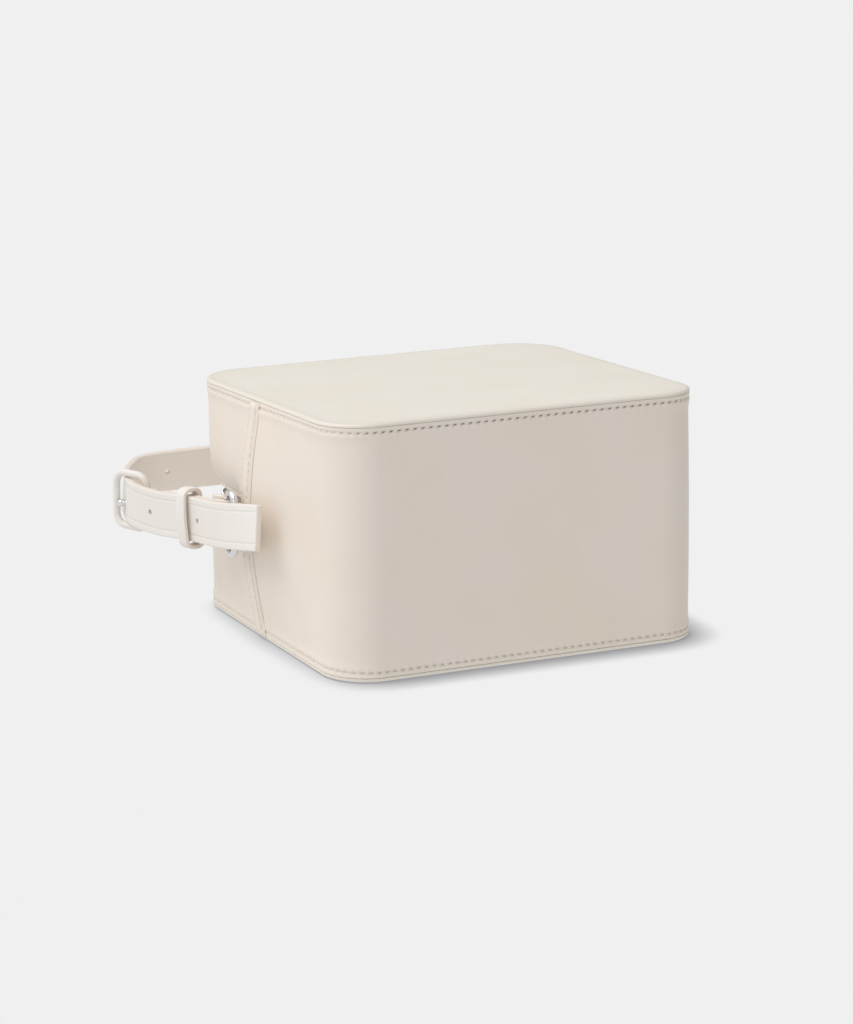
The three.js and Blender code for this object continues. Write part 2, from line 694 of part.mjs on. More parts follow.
// Tongue strap: square tail with rounded corners, punched holes, passing inside the buckle's free bar,
// and folded round the right ring.
const freeBarPlace = bucklePlace + frameSpan;
const tonguePath = [];
const tongueStart = -ringShare * handleLength;
const tongueEnd = handleLength * (1 - ringShare);
const tongueSteps = Math.ceil((tongueEnd - tongueStart) / strapStep);
for (let i = 0; i <= tongueSteps; i++) {
  const distance = lerp(tongueStart, tongueEnd, i / tongueSteps);
  const fromTail = distance - tongueStart;
  const frame = strapFrame(distance);
  const dip = tonguePress * bump(distance - freeBarPlace, tonguePressReach);
  tonguePath.push({ point: beside(frame, -dip), up: frame.up, fromTail });
}
const cornerCut = (fromTail) => strapCorner - Math.sqrt(strapCorner ** 2 - (strapCorner - fromTail) ** 2);
const tail = strapFrame(tongueStart);
const tailRows = [0, 0.08, 0.3, 1].map((share) => ({
  point: beside(tail, 0, share * strapCorner),
  up: tail.up,
  half: strapWidth / 2 - cornerCut(share * strapCorner),
}));
const towardsMouth = vec(0, 1, 0);
const rightFold = foldRound(rightBar, towardsMouth, vec(1, 0, 0), zUp, tongueFoldRadius, tongueThickness,
  foldLength);
const tongueRows = [...tailRows, ...tonguePath.slice(1), ...rightFold.reverse()];
const tongueBand = bandSolid(tongueRows, strapWidth, tongueThickness);

function holeCutter(distance) {
  const frame = strapFrame(distance);
  const cutter = new THREE.CylinderGeometry(holeDiameter / 2, holeDiameter / 2, tongueThickness * 4,
    holeSides);
  const turn = new THREE.Quaternion().setFromUnitVectors(vec(0, 1, 0), frame.out);
  cutter.applyQuaternion(turn);
  cutter.translate(frame.point.x, frame.point.y, frame.point.z);
  return cutter;
}
// The prong goes through a hole of its own, so no other hole is punched near it.
const holes = Array.from({ length: holeCount }, (_, i) => firstHole + i * holePitch)
  .filter((distance) => Math.abs(distance - freeBarPlace) > frameWide / 2)
  .map(holeCutter);
addPiece("tongue_strap", cutAway(tongueBand, ...holes, prongSolid(clearance)), creamLeather);

// Buckle strap: folded round the left ring and round the buckle's hinge bar, under the tongue strap.
const underTongue = (tongueThickness + buckleStrapThickness) / 2 + clearance;
const leftBar = onEnd(-1, ringOut, ringPlace + ringBarOffset, ringLevel);
const strapFoldRadius = (ringWire + buckleStrapThickness) / 2 + clearance;
const hingeFoldRadius = (frameTube + buckleStrapThickness) / 2 + clearance;
const leftFold = foldRound(leftBar, towardsMouth, vec(-1, 0, 0), zUp, strapFoldRadius, buckleStrapThickness,
  foldLength);
const hingeFold = foldRound(hingePoint, hinge.along.clone().negate(), hinge.out, hinge.up, hingeFoldRadius,
  buckleStrapThickness, foldLength).map((row) => ({ ...row, half: hingeStrapWidth / 2 }));
const runStart = ringBarOffset + strapStep;
const runSteps = Math.ceil((bucklePlace - runStart - strapStep) / strapStep);
const run = Array.from({ length: runSteps + 1 }, (_, i) => {
  const distance = lerp(runStart, bucklePlace - strapStep, i / runSteps);
  const frame = strapFrame(distance);
  const narrowFrom = bucklePlace - foldLength - strapStep;
  const narrowing = THREE.MathUtils.smoothstep(distance, narrowFrom, bucklePlace - strapStep);
  const half = lerp(strapWidth, hingeStrapWidth, narrowing) / 2;
  return { point: beside(frame, -underTongue), up: frame.up, half };
});
const buckleBand = bandSolid([...leftFold, ...run, ...hingeFold.reverse()], strapWidth, buckleStrapThickness);
const slotHeight = prongTip + 2 * clearance;
const prongSlot = new THREE.BoxGeometry(hingeFoldRadius * 2.6, hingeFoldRadius * 2.6, slotHeight);
prongSlot.applyMatrix4(new THREE.Matrix4().makeBasis(frameAlong, frameOut, frameUp)
  .setPosition(hingePoint.clone().addScaledVector(frameAlong, hingeFoldRadius * 1.3)));
addPiece("buckle_strap", cutAway(buckleBand, prongSlot), creamLeather);

// Keeper: a band of leather round both straps.
const keeper = strapFrame(keeperPlace);
const keeperInside = tongueThickness + buckleStrapThickness + 3 * clearance;
const keeperMiddle = beside(keeper, tongueThickness / 2 + clearance - keeperInside / 2);
const keeperLoop = loopSolid(keeperMiddle, keeper.out, keeper.up, keeperInside + keeperThickness,
  keeperTall - keeperThickness, keeperCornerRadius, flatSection(keeperThickness, keeperBand));
addPiece("keeper_loop", keeperLoop, creamLeather);

// The frame's origin is at the bottom, in the middle of everything.
bag.updateMatrixWorld(true);
const whole = new THREE.Box3().setFromObject(bag);
const middle = whole.getCenter(vec());
bag.position.set(-middle.x, -middle.y, -whole.min.z);
bag.updateMatrixWorld(true);

export default bag;
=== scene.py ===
# Cream leather box bag with a buckled top handle, lying on one of its side panels.
import math
import bpy
import numpy as np
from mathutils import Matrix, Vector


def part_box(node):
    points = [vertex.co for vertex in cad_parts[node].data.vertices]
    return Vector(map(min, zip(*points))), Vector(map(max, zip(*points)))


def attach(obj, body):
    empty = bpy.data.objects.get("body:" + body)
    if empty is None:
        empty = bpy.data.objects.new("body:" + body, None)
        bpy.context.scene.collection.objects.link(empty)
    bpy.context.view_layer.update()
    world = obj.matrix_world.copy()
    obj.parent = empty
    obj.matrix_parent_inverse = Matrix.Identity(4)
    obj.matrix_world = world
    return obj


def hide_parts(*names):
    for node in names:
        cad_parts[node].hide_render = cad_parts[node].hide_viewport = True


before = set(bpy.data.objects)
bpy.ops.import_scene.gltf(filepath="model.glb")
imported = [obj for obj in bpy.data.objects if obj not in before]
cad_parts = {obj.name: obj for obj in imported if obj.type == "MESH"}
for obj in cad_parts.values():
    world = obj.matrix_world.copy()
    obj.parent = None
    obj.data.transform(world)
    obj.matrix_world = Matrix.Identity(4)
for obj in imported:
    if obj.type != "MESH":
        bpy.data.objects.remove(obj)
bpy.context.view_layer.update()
print("frame loaded with", len(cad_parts), "nodes")

# Lengths below are millimetres, counted from the middle of the lower panel on the floor
millimetre = 0.001
panelLow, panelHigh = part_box("side_panel_lower")
bagOrigin = np.array([(panelLow.x + panelHigh.x) / 2, (panelLow.y + panelHigh.y) / 2, panelLow.z])

bag = {
    "length": (panelHigh.x - panelLow.x) / millimetre,
    "height": (panelHigh.y - panelLow.y) / millimetre,
    "depthAtBase": 113.5,
    "depthAtMouth": 106.5,
    "middleDrop": 1.75,    # the zip and rings lie this far below the middle
    "baseCorner": 21.0,
    "mouthCorner": 25.0,
    "leanAlong": -1.0,
    "leanUp": 2.0,
    "seamHeight": 4.0,     # of the two end seams, above the middle of the height
    "clearance": 0.35,
    "wallLeather": 2.0,
    "rolledEdge": 1.7,
    "panelGap": 0.08,      # between a wall's edge and the panel's rolled edge
}
wallFoot = bag["rolledEdge"] + bag["panelGap"]


# Shapes: small helpers on arrays

def smoothstep(value, low, high):
    # 0 up to low, 1 from high, and 3 t^2 - 2 t^3 between
    t = np.clip((value - low) / (high - low), 0.0, 1.0)
    return t * t * (3.0 - 2.0 * t)


def bump(distance, reach):
    # A bell curve: e to the power -(distance / reach)^2
    return np.exp(-(distance / reach) ** 2)


def unit(vectors):
    return vectors / np.linalg.norm(vectors, axis=-1, keepdims=True)


def lerp(a, b, t):
    return a + (b - a) * t


def gridFaces(rows, columns, closeRows=False, closeColumns=False):
    # Quads between neighbouring points of a grid, point (r, c) having the number r * columns + c
    r = np.arange(rows if closeRows else rows - 1)[:, None]
    c = np.arange(columns if closeColumns else columns - 1)[None, :]
    here, above, cNext = r * columns, (r + 1) % rows * columns, (c + 1) % columns
    return np.stack([here + c, here + cNext, above + cNext, above + c], axis=-1).reshape(-1, 4).tolist()


def stripCap(start, columns, front):
    # Closes a flat ring across its two halves, point k facing point columns - 1 - k
    quads = [[start + k, start + k + 1, start + columns - 2 - k, start + columns - 1 - k]
             for k in range(columns // 2 - 1)]
    return [quad[::-1] for quad in quads] if front else quads


def fanCap(start, columns, middle, front):
    # Closes a ring with triangles round one middle point
    fans = [[middle, start + k, start + (k + 1) % columns] for k in range(columns)]
    return [fan[::-1] for fan in fans] if front else fans


def signedVolume(points, faces):
    total = 0.0
    for size in (3, 4):
        group = np.array([face for face in faces if len(face) == size])
        if len(group):
            for k in range(1, size - 1):
                a, b, c = points[group[:, 0]], points[group[:, k]], points[group[:, k + 1]]
                total += np.einsum("ij,ij->i", a, np.cross(b, c)).sum()
    return total


def meshObject(name, points, faces):
    # An object from points in millimetres, its faces turned outwards
    points = np.asarray(points, float).reshape(-1, 3)
    if signedVolume(points, faces) < 0:
        faces = [face[::-1] for face in faces]
    mesh = bpy.data.meshes.new(name)
    mesh.from_pydata((points * millimetre + bagOrigin).tolist(), [], faces)
    made = bpy.data.objects.new(name, mesh)
    bpy.context.scene.collection.objects.link(made)
    return made


def makePiece(name, points, faces, finish, replaced=(), marks=None):
    # A piece of the bag. Marks are numbers on its points, which its finish reads.
    piece = meshObject(name, points, faces)
    mesh = piece.data
    for mark, values in (marks or {}).items():
        layer = mesh.attributes.new(mark, "FLOAT", "POINT")
        layer.data.foreach_set("value", np.ascontiguousarray(values, np.float32).ravel())
    mesh.polygons.foreach_set("use_smooth", np.ones(len(mesh.polygons), bool))
    mesh.materials.append(finish)
    mesh.update()
    if replaced:
        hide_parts(*replaced)
    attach(piece, "root")
    return piece


def sweptPiece(name, rings, finish, replaced=(), marks=None, closed=False):
    # Rings of points one after another, joined into one skin, the two ends closed across unless it is a loop
    rows, columns = rings.shape[:2]
    faces = gridFaces(rows, columns, closed, True)
    if not closed:
        faces += stripCap(0, columns, True) + stripCap((rows - 1) * columns, columns, False)
    return makePiece(name, rings, faces, finish, replaced, marks)


# The bag's outline and walls

def outlineParts():
    # Straights and quarter turns in order, from the left end seam round the base and the mouth and back to it
    half, tall = bag["length"] / 2, bag["height"] / 2
    base, mouth, seam = bag["baseCorner"], bag["mouthCorner"], bag["seamHeight"]
    quarter = math.pi / 2
    runs = [
        (seam + tall - base, 0), (quarter * base, base),
        (bag["length"] - 2 * base, 0), (quarter * base, base),
        (bag["height"] - base - mouth, 0), (quarter * mouth, mouth),
        (bag["length"] - 2 * mouth, 0), (quarter * mouth, mouth),
        (tall - mouth - seam, 0),
    ]
    parts, start, heading = [], 0.0, -quarter
    x, y = -half, seam
    for run, radius in runs:
        parts.append({"start": start, "run": run, "radius": radius, "x": x, "y": y, "heading": heading})
        if radius:
            x += radius * (math.sin(heading + quarter) - math.sin(heading))
            y += radius * (math.cos(heading) - math.cos(heading + quarter))
            heading += quarter
        else:
            x += run * math.cos(heading)
            y += run * math.sin(heading)
        start += run
    return parts, start


parts, outlineLength = outlineParts()
mainGirth = (2 * (bag["seamHeight"] + bag["height"] / 2) + bag["length"]
             - (4 - math.pi) * bag["baseCorner"])  # from the left end seam to the right one


def outlineAt(distance):
    # Straight: p + t (cos h, sin h). Turn of radius r: p + r (sin(h + t/r) - sin h, cos h - cos(h + t/r)).
    # The outward direction is the heading turned right, (sin, -cos).
    distance = np.mod(np.asarray(distance, float), outlineLength)
    x, y, heading = np.zeros_like(distance), np.zeros_like(distance), np.zeros_like(distance)
    for part in parts:
        inside = (distance >= part["start"]) & (distance <= part["start"] + part["run"])
        t = distance[inside] - part["start"]
        h, r = part["heading"], part["radius"]
        if r:
            x[inside] = part["x"] + r * (np.sin(h + t / r) - math.sin(h))
            y[inside] = part["y"] + r * (math.cos(h) - np.cos(h + t / r))
            heading[inside] = h + t / r
        else:
            x[inside] = part["x"] + t * math.cos(h)
            y[inside] = part["y"] + t * math.sin(h)
            heading[inside] = h
    return x, y, np.sin(heading), -np.cos(heading)


def depthAt(y):
    # Height of the bag as it lies, falling evenly from the base to the mouth
    return lerp(bag["depthAtBase"], bag["depthAtMouth"], (y + bag["height"] / 2) / bag["height"])


def midLevel(y):
    return depthAt(y) / 2 - bag["middleDrop"]


wall = {
    "seamFlare": 0.8,
    "seamFlareReach": 6.0,
    "endBelly": 7.0,
    # How far the wall stands out at half depth, as shares of the belly, from one end seam to the other
    "mainAlong": [0, 0.09, 0.2, 0.35, 0.5, 0.65, 0.8, 0.91, 1],
    "mainBow": [1, 0.55, 0.08, 0.02, -0.04, 0.02, 0.08, 0.55, 1],
    "mouthAlong": [0, 0.08, 0.22, 0.36, 0.5, 0.64, 0.78, 0.92, 1],
    "mouthBow": [1, 0.5, 0, -0.06, -0.1, -0.06, 0, 0.5, 1],
    "zipOpening": 12.0,
    "zipSink": 4.5,
    "zipSinkReach": 7.0,
    "zipSinkFade": 24.0,
    "step": 0.6,
}
stitch = {
    "pitch": 3.75,
    "spare": 0.3,          # share of the pitch that a row keeps free at its ends
    "fromStrip": 5.0,      # where the rows of the main wall end beside the seams under the strips
    "flapFromStrip": 6.0,
    "fromEdge": 2.3,
    "thread": 0.27,        # radius
    "length": 2.75,
    "slant": 9.0,          # degrees
    "pull": 0.32,          # how deep the row is drawn in
    "swell": 0.26,         # how far the leather swells beyond the row
    "pucker": 0.13,
    "turnedEdge": 0.45,    # radius of the leather's turned-in edge
    "endGape": 0.08,       # how strongly the needle holes' painted shade shows along the ends
    "footGape": 0.5,       # and by the lower panel
    "gapeFade": 0.8,       # share of the base's corners over which that painted shade fades
    "far": 20.0,           # a distance at which no stitch is seen
}


def bowAt(distance):
    # Smooth steps between the rows of the two tables, times the belly
    onMouth = (distance - mainGirth) / (outlineLength - mainGirth)
    along = np.where(distance <= mainGirth, distance / mainGirth, onMouth)
    bows = []
    for places, rows in ((wall["mainAlong"], wall["mainBow"]), (wall["mouthAlong"], wall["mouthBow"])):
        places, rows = np.array(places, float), np.array(rows, float)
        k = np.clip(np.searchsorted(places, along), 1, len(places) - 1)
        bows.append(lerp(rows[k - 1], rows[k], smoothstep(along, places[k - 1], places[k])))
    return np.where(distance <= mainGirth, bows[0], bows[1]) * wall["endBelly"]


def wallPoint(distance, height, inset):
    # Outline point + outward direction * (bow * sin(pi * share of depth) + flare at the seams - dip at the
    # zip - inset) + the lean * share of depth
    distance = np.mod(distance, outlineLength)
    x, y, outX, outY = outlineAt(distance)
    top = depthAt(y)
    share = height / top
    nearSeam = bump(np.minimum(height, top - height), wall["seamFlareReach"])
    off = bowAt(distance) * np.sin(math.pi * share) + wall["seamFlare"] * (nearSeam - 1)
    seamDistance = np.minimum(np.abs(distance - mainGirth), outlineLength - distance)
    fromZip = np.maximum(0, np.abs(height - midLevel(y)) - wall["zipOpening"] / 2)
    sink = wall["zipSink"] * bump(fromZip, wall["zipSinkReach"])
    sink = sink * smoothstep(seamDistance, 0, wall["zipSinkFade"])
    off = off - np.where(distance <= mainGirth, 0, sink) - inset
    return np.stack([x + outX * off + bag["leanAlong"] * share,
                     y + outY * off + bag["leanUp"] * share,
                     height + 0 * off], axis=-1)


def edgeRound(fromEdge, radius):
    # A quarter circle at an edge: radius - sqrt(radius^2 - (radius - distance)^2)
    t = np.clip(radius - fromEdge, 0, radius)
    return radius - np.sqrt(radius ** 2 - t ** 2)


def stitchRelief(fromEdge, phase):
    # The edge turned in, the stitch row drawn in, and the leather swelling beyond it in small puckers
    beyond = fromEdge - stitch["fromEdge"]
    return (-edgeRound(fromEdge, stitch["turnedEdge"])
            - stitch["pull"] * bump(beyond, 0.55)
            + stitch["swell"] * bump(beyond - 2.0, 1.3)
            + stitch["pucker"] * np.cos(2 * math.pi * phase) * bump(beyond - 1.0, 0.8))


# Distances from an edge at which the wall has a row of points, closer together round the stitches
edgeRows = np.array([0, 0.1, 0.3, 0.7, 1.2, 1.6, 1.95, 2.3, 2.65, 3.0, 3.4, 3.9, 4.5, 5.3, 6.4, 8.2, 11])


def wallPiece(name, start, end, lowEdge, highEdge, middleRows, replaced):
    # A leather wall between two heights: an outer and an inner skin, joined along its edges and ends
    thickness = bag["wallLeather"]
    count = int(math.ceil((end - start) / wall["step"])) + 1
    distance = np.linspace(start, end, count)[:, None]
    y = outlineAt(distance)[1]
    low, high = lowEdge(y), highEdge(y)
    between = np.linspace(0, 1, middleRows + 2)[1:-1]
    height = np.concatenate([
        low + edgeRows,
        lerp(low + edgeRows[-1], high - edgeRows[-1], between),
        high - edgeRows[::-1],
    ], axis=1)
    phase = distance / stitch["pitch"] + 0 * height
    fromLow, fromHigh = height - low, high - height
    relief = stitchRelief(fromLow, phase) + stitchRelief(fromHigh, phase)
    outer = wallPoint(distance, height, -relief)
    innerRound = edgeRound(fromLow, thickness / 2) + edgeRound(fromHigh, thickness / 2)
    inner = wallPoint(distance, height, thickness - 0.8 * innerRound)
    rings = np.concatenate([outer, inner[:, ::-1]], axis=1)
    gap = np.minimum(fromLow, fromHigh) - stitch["fromEdge"]
    # The needle holes are painted shade: full on the base's face, faint along both ends and weaker by the
    # lower panel
    fromBase = np.abs(distance - mainGirth / 2) - (bag["length"] / 2 - bag["baseCorner"])
    onEnds = smoothstep(fromBase, 0, stitch["gapeFade"] * math.pi * bag["baseCorner"] / 2)
    holeShade = lerp(1.0, stitch["endGape"], onEnds) * np.where(fromLow < fromHigh, stitch["footGape"], 1.0)
    marks = {
        "stitchRun": np.concatenate([phase, phase[:, ::-1]], axis=1),
        "stitchGap": np.concatenate([gap, 0 * gap + stitch["far"]], axis=1),
        "stitchGape": np.concatenate([holeShade, holeShade], axis=1),
    }
    return sweptPiece(name, rings, wallLeather, replaced, marks)


print("shapes ready, outline", round(outlineLength, 1), "mm")


# Finishes

class Wire:
    # A node's output. Adding, multiplying and so on put Math nodes behind it.
    def __init__(self, finish, socket):
        self.finish = finish
        self.socket = socket

    def step(self, operation, left, right):
        return self.finish.add("ShaderNodeMath", {"operation": operation}, {0: left, 1: right})

    def __add__(self, other):
        return self.step("ADD", self, other)

    def __radd__(self, other):
        return self.step("ADD", other, self)

    def __sub__(self, other):
        return self.step("SUBTRACT", self, other)

    def __rsub__(self, other):
        return self.step("SUBTRACT", other, self)

    def __mul__(self, other):
        return self.step("MULTIPLY", self, other)

    def __rmul__(self, other):
        return self.step("MULTIPLY", other, self)

    def __truediv__(self, other):
        return self.step("DIVIDE", self, other)

    def __rtruediv__(self, other):
        return self.step("DIVIDE", other, self)

    def __pow__(self, other):
        return self.step("POWER", self, other)


class Finish:
    # One material. add() makes a node from its type, its settings and the values or wires of its inputs.
    def __init__(self, name, **looks):
        self.material = bpy.data.materials.new(name)
        self.material.use_nodes = True
        self.tree = self.material.node_tree
        self.surface = next(node for node in self.tree.nodes if node.type == "BSDF_PRINCIPLED")
        self.wear(**looks)

    def plug(self, socket, value):
        if isinstance(value, Wire):
            self.tree.links.new(value.socket, socket)
        elif socket.type == "RGBA" and len(value) == 3:
            socket.default_value = (*value, 1.0)
        else:
            socket.default_value = value

    def wear(self, **looks):
        # Sets inputs of the surface, such as BaseColor= for Base Color
        names = {socket.name.replace(" ", ""): socket for socket in self.surface.inputs}
        for look, value in looks.items():
            self.plug(names[look], value)

    def add(self, kind, settings=None, inputs=None, output=0):
        node = self.tree.nodes.new(kind)
        for setting, value in (settings or {}).items():
            setattr(node, setting, value)
        for place, value in (inputs or {}).items():
            self.plug(node.inputs[place], value)
        return Wire(self, node.outputs[output])

    def place(self):
        return self.add("ShaderNodeTexCoord", output="Object")

    def mark(self, name):
        return self.add("ShaderNodeAttribute", {"attribute_name": name}, output="Fac")

    def noise(self, size, detail=2.0):
        # Cloudy noise with features of about this size, in millimetres
        return self.add("ShaderNodeTexNoise", None, {
            "Vector": self.place(), "Scale": 1 / (size * millimetre), "Detail": detail})

    def grain(self, size):
        # Distance to the nearest of many scattered points, for the small cells of leather
        return self.add("ShaderNodeTexVoronoi", {"feature": "F1"}, {
            "Vector": self.place(), "Scale": 1 / (size * millimetre)})

    def ramp(self, value, low, high):
        # 0 at low, 1 at high, smooth between
        return self.add("ShaderNodeMapRange", {"interpolation_type": "SMOOTHSTEP"}, {
            "Value": value, "From Min": low, "From Max": high})

    def mix(self, factor, first, second):
        return self.add("ShaderNodeMix", {"data_type": "RGBA"}, {
            0: factor, 6: first, 7: second}, output=2)

    def raised(self, height, distance, strength=1.0, under=None):
        inputs = {"Height": height, "Distance": distance * millimetre, "Strength": strength}
        if under:
            inputs["Normal"] = under
        return self.add("ShaderNodeBump", None, inputs)


leather = {
    # Panels and walls are one leather: the panels' lighter tone is painted light on the top, the walls'
    # darker, pinker tone painted shade for the front
    "panel": (0.86, 0.818, 0.728),
    # a darker tone painted on the panels' rolled rim as shade
    "rim": (0.79, 0.735, 0.655),
    "wall": (0.83, 0.752, 0.672),
    "strap": (0.825, 0.79, 0.75),
    # the backs' own warmer tone, raised as painted light to make up for the shade they sit in
    "inside": (0.92, 0.855, 0.775),
    "edge": (0.82, 0.73, 0.66),
    # painted shade inside the needle holes
    "needleHole": (0.05, 0.04, 0.03),
    "cloudSize": 38.0,
    "grainSize": 0.55,
    "grainDepth": 0.014,
    "roughness": 0.46,
    "speckSize": 1.6,
    "foldSize": 7.0,
    "foldDepth": 0.10,
    "sheenSize": 11.0,
    "holeLong": 0.8,       # half the length of a needle hole
    "holeWide": 0.36,
    "holeSlant": 0.9,      # how far it runs along per millimetre across
}


def leatherFinish(name, colour, stitched=False, rimmed=False, strap=False):
    # Smooth calf leather: slow drifts of tone and a fine grain. Walls show the needle holes between threads
    # as painted shade, panels a painted shade on their rolled rim, straps their edges, backs and creases, the
    # backs' tone partly painted light.
    finish = Finish(name, CoatWeight=0.06, CoatRoughness=0.35, IOR=1.45)
    cloud = finish.noise(leather["cloudSize"], 3.0)
    darker = tuple(0.93 * part for part in colour)
    warmer = (colour[0] * 0.985, colour[1] * 0.955, colour[2] * 0.90)
    tone = finish.mix(finish.ramp(cloud, 0.35, 0.7) * 0.6, colour, warmer)
    speck = finish.noise(leather["speckSize"])
    tone = finish.mix(finish.ramp(speck, 0.52, 0.74) * 0.22, tone, darker)
    grain = finish.grain(leather["grainSize"])
    bend = finish.raised(grain, leather["grainDepth"], 0.55)
    bend = finish.raised(finish.noise(leather["foldSize"]), leather["foldDepth"], 0.35, bend)
    sheen = finish.noise(leather["sheenSize"]) - 0.5
    rough = leather["roughness"] + 0.10 * sheen - 0.05 * finish.ramp(grain, 0.2, 0.6)
    if stitched:
        # Needle holes and the dimples round them are painted shade, as strong as the points' hole-shade mark
        # says
        run, gap = finish.mark("stitchRun"), finish.mark("stitchGap")
        along = finish.add("ShaderNodeMath", {"operation": "FRACT"}, {0: run}) - 0.5
        slanted = along * stitch["pitch"] + gap * leather["holeSlant"]
        away = ((slanted / leather["holeLong"]) ** 2 + (gap / leather["holeWide"]) ** 2) ** 0.5
        hole = 1 - finish.ramp(away, 0.65, 1.15)
        press = 1 - finish.ramp(away, 0.8, 2.3)
        holeShade = finish.mark("stitchGape")
        tone = finish.mix(press * holeShade * 0.3, tone, darker)
        tone = finish.mix(hole * holeShade * 0.8, tone, leather["needleHole"])
        bend = finish.raised(1 - press, 0.35, 0.8, bend)
    # the rolled rim is darkened: painted shade
    if rimmed:
        tone = finish.mix(finish.mark("rim"), tone, leather["rim"])
    if strap:
        edge, inside = finish.mark("edgePaint"), finish.mark("inside")
        # the back takes its own tone, partly lightened as painted light
        tone = finish.mix(inside, tone, leather["inside"])
        tone = finish.mix(edge, tone, leather["edge"])
        crease = finish.mark("crease")
        tone = finish.mix(crease * 0.45, tone, darker)
    finish.wear(BaseColor=tone, Roughness=rough, Normal=bend)
    return finish.material


thread = {
    "ply": (0.89, 0.85, 0.78),
    "betweenPlies": (0.74, 0.68, 0.60),
    "twists": 1600.0,
    "twistDepth": 0.06,
}


def threadFinish():
    # Waxed thread: twisted plies across the stitch, with painted shade between the plies
    finish = Finish("thread", Roughness=0.55, IOR=1.45)
    twist = finish.add("ShaderNodeTexWave", {"bands_direction": "DIAGONAL"}, {
        "Vector": finish.place(), "Scale": thread["twists"], "Distortion": 0.6})
    tone = finish.mix(twist * 0.35, thread["ply"], thread["betweenPlies"])
    finish.wear(BaseColor=tone, Normal=finish.raised(twist, thread["twistDepth"], 0.6))
    return finish.material


plating = {
    "bright": (0.80, 0.80, 0.82),
    "rubbed": (0.68, 0.68, 0.71),
    "rubSize": 0.9,
    "rubDepth": 0.01,
    "hazeSize": 3.0,
    "roughness": 0.12,
}


def silverFinish():
    # Polished plated metal with faint rub marks
    finish = Finish("silver", Metallic=1.0)
    rub = finish.noise(plating["rubSize"], 5.0)
    tone = finish.mix(finish.ramp(rub, 0.4, 0.75) * 0.3, plating["bright"], plating["rubbed"])
    haze = finish.ramp(finish.noise(plating["hazeSize"], 3.0), 0.4, 0.8)
    finish.wear(BaseColor=tone, Roughness=plating["roughness"] + 0.10 * haze,
                Normal=finish.raised(rub, plating["rubDepth"], 0.3))
    return finish.material


cloth = {
    "hollow": (0.47, 0.42, 0.35),
    "yarn": (0.66, 0.60, 0.52),
    "ribPitch": 0.8,
    "weavePitch": 0.55,
    "depth": 0.16,
}


def tapeFinish():
    # Woven tape: fine ribs along its run, crossed by a closer weave, darker in the weave's hollows as painted
    # shade
    finish = Finish("zipTape", Roughness=0.85, SheenWeight=0.2)
    run, rise = finish.mark("run"), finish.mark("rise")
    rib, weave = (finish.add("ShaderNodeMath", {"operation": "SINE"}, {0: place * (2 * math.pi / pitch)})
                  for place, pitch in ((rise, cloth["ribPitch"]), (run, cloth["weavePitch"])))
    height = 0.5 + 0.25 * rib * weave + 0.25 * rib
    tone = finish.mix(finish.ramp(height, 0.1, 0.9), cloth["hollow"], cloth["yarn"])
    finish.wear(BaseColor=tone, Normal=finish.raised(height, cloth["depth"], 0.8))
    return finish.material


panelLeather = leatherFinish("panelLeather", leather["panel"], rimmed=True)
wallLeather = leatherFinish("wallLeather", leather["wall"], stitched=True)
strapLeather = leatherFinish("strapLeather", leather["strap"], strap=True)
plainLeather = leatherFinish("trimLeather", leather["strap"])
threadWax = threadFinish()
silver = silverFinish()
zipCloth = tapeFinish()
print("finishes ready")


# Side panels

panel = {
    "crown": 1.6,
    "leather": 1.3,
    "step": 1.6,
    "seamTuck": 0.3,      # radius of the turned-in edge that meets the wall
    "flatRings": 26,
    "rimStart": 0.95,     # share of the way out where the rim's painted shade begins
}


def sidePanel(name, crown, lift, replaced):
    # Rings from the middle to the rim: level = crown (1 - share^2.4), then a quarter roll of the rim's radius
    # down the outside, a small turn at its foot, and the same leather back inside
    count = int(round(outlineLength / panel["step"]))
    distance = np.linspace(0, outlineLength, count, endpoint=False)
    x, y, outX, outY = outlineAt(distance)
    r, thick, tuck = bag["rolledEdge"], panel["leather"], panel["seamTuck"]
    share = np.linspace(0, 1, panel["flatRings"] + 1)[1:]
    angles = np.linspace(0, math.pi / 2, 9)[1:]
    inner = r - thick
    profile = [(r, s, crown * (1 - s ** 2.4)) for s in share]
    profile += [(r * (1 - math.sin(a)), 1.0, (r - tuck) * (math.cos(a) - 1)) for a in angles]
    profile += [(tuck * (1 - math.cos(a)), 1.0, tuck - r - tuck * math.sin(a)) for a in angles[::2]]
    profile += [(thick - tuck * (1 - math.sin(a)), 1.0, -r + tuck * (1 - math.cos(a))) for a in angles[::2]]
    profile += [(r - inner * math.sin(a), 1.0, inner * math.cos(a) - r) for a in angles[::-2]]
    profile += [(r, s, crown * (1 - s ** 2.4) - thick) for s in share[::-1][::2]]
    rings = np.array([lift((x - outX * inset) * s, (y - outY * inset) * s, level)
                      for inset, s, level in profile])
    centre = np.zeros(1)
    middle = np.array([lift(centre, centre, level)[0] for level in (crown, crown - thick)])
    rows = len(profile)
    # How much painted shade each ring of the rim takes
    rim = [smoothstep(np.array(s), panel["rimStart"], 1.0) for inset, s, level in profile]
    rim = np.concatenate([np.repeat(rim, count), [0, 0]])
    faces = gridFaces(rows, count, False, True)
    faces += fanCap(0, count, rows * count, True) + fanCap((rows - 1) * count, count, rows * count + 1, False)
    points = np.concatenate([rings.reshape(-1, 3), middle])
    return makePiece(name, points, faces, panelLeather, replaced, {"rim": rim})


def upperPlace(x, y, level):
    return np.stack([x + bag["leanAlong"], y + bag["leanUp"], depthAt(y) + level], axis=-1)


def lowerPlace(x, y, level):
    return np.stack([x, y, -level + 0 * x], axis=-1)


sidePanel("upper_panel_leather", panel["crown"], upperPlace, ["side_panel_upper"])
sidePanel("lower_panel_leather", 0.0, lowerPlace, ["side_panel_lower"])
print("panels done")


# Gusset walls

seamGap = bag["clearance"] / 2


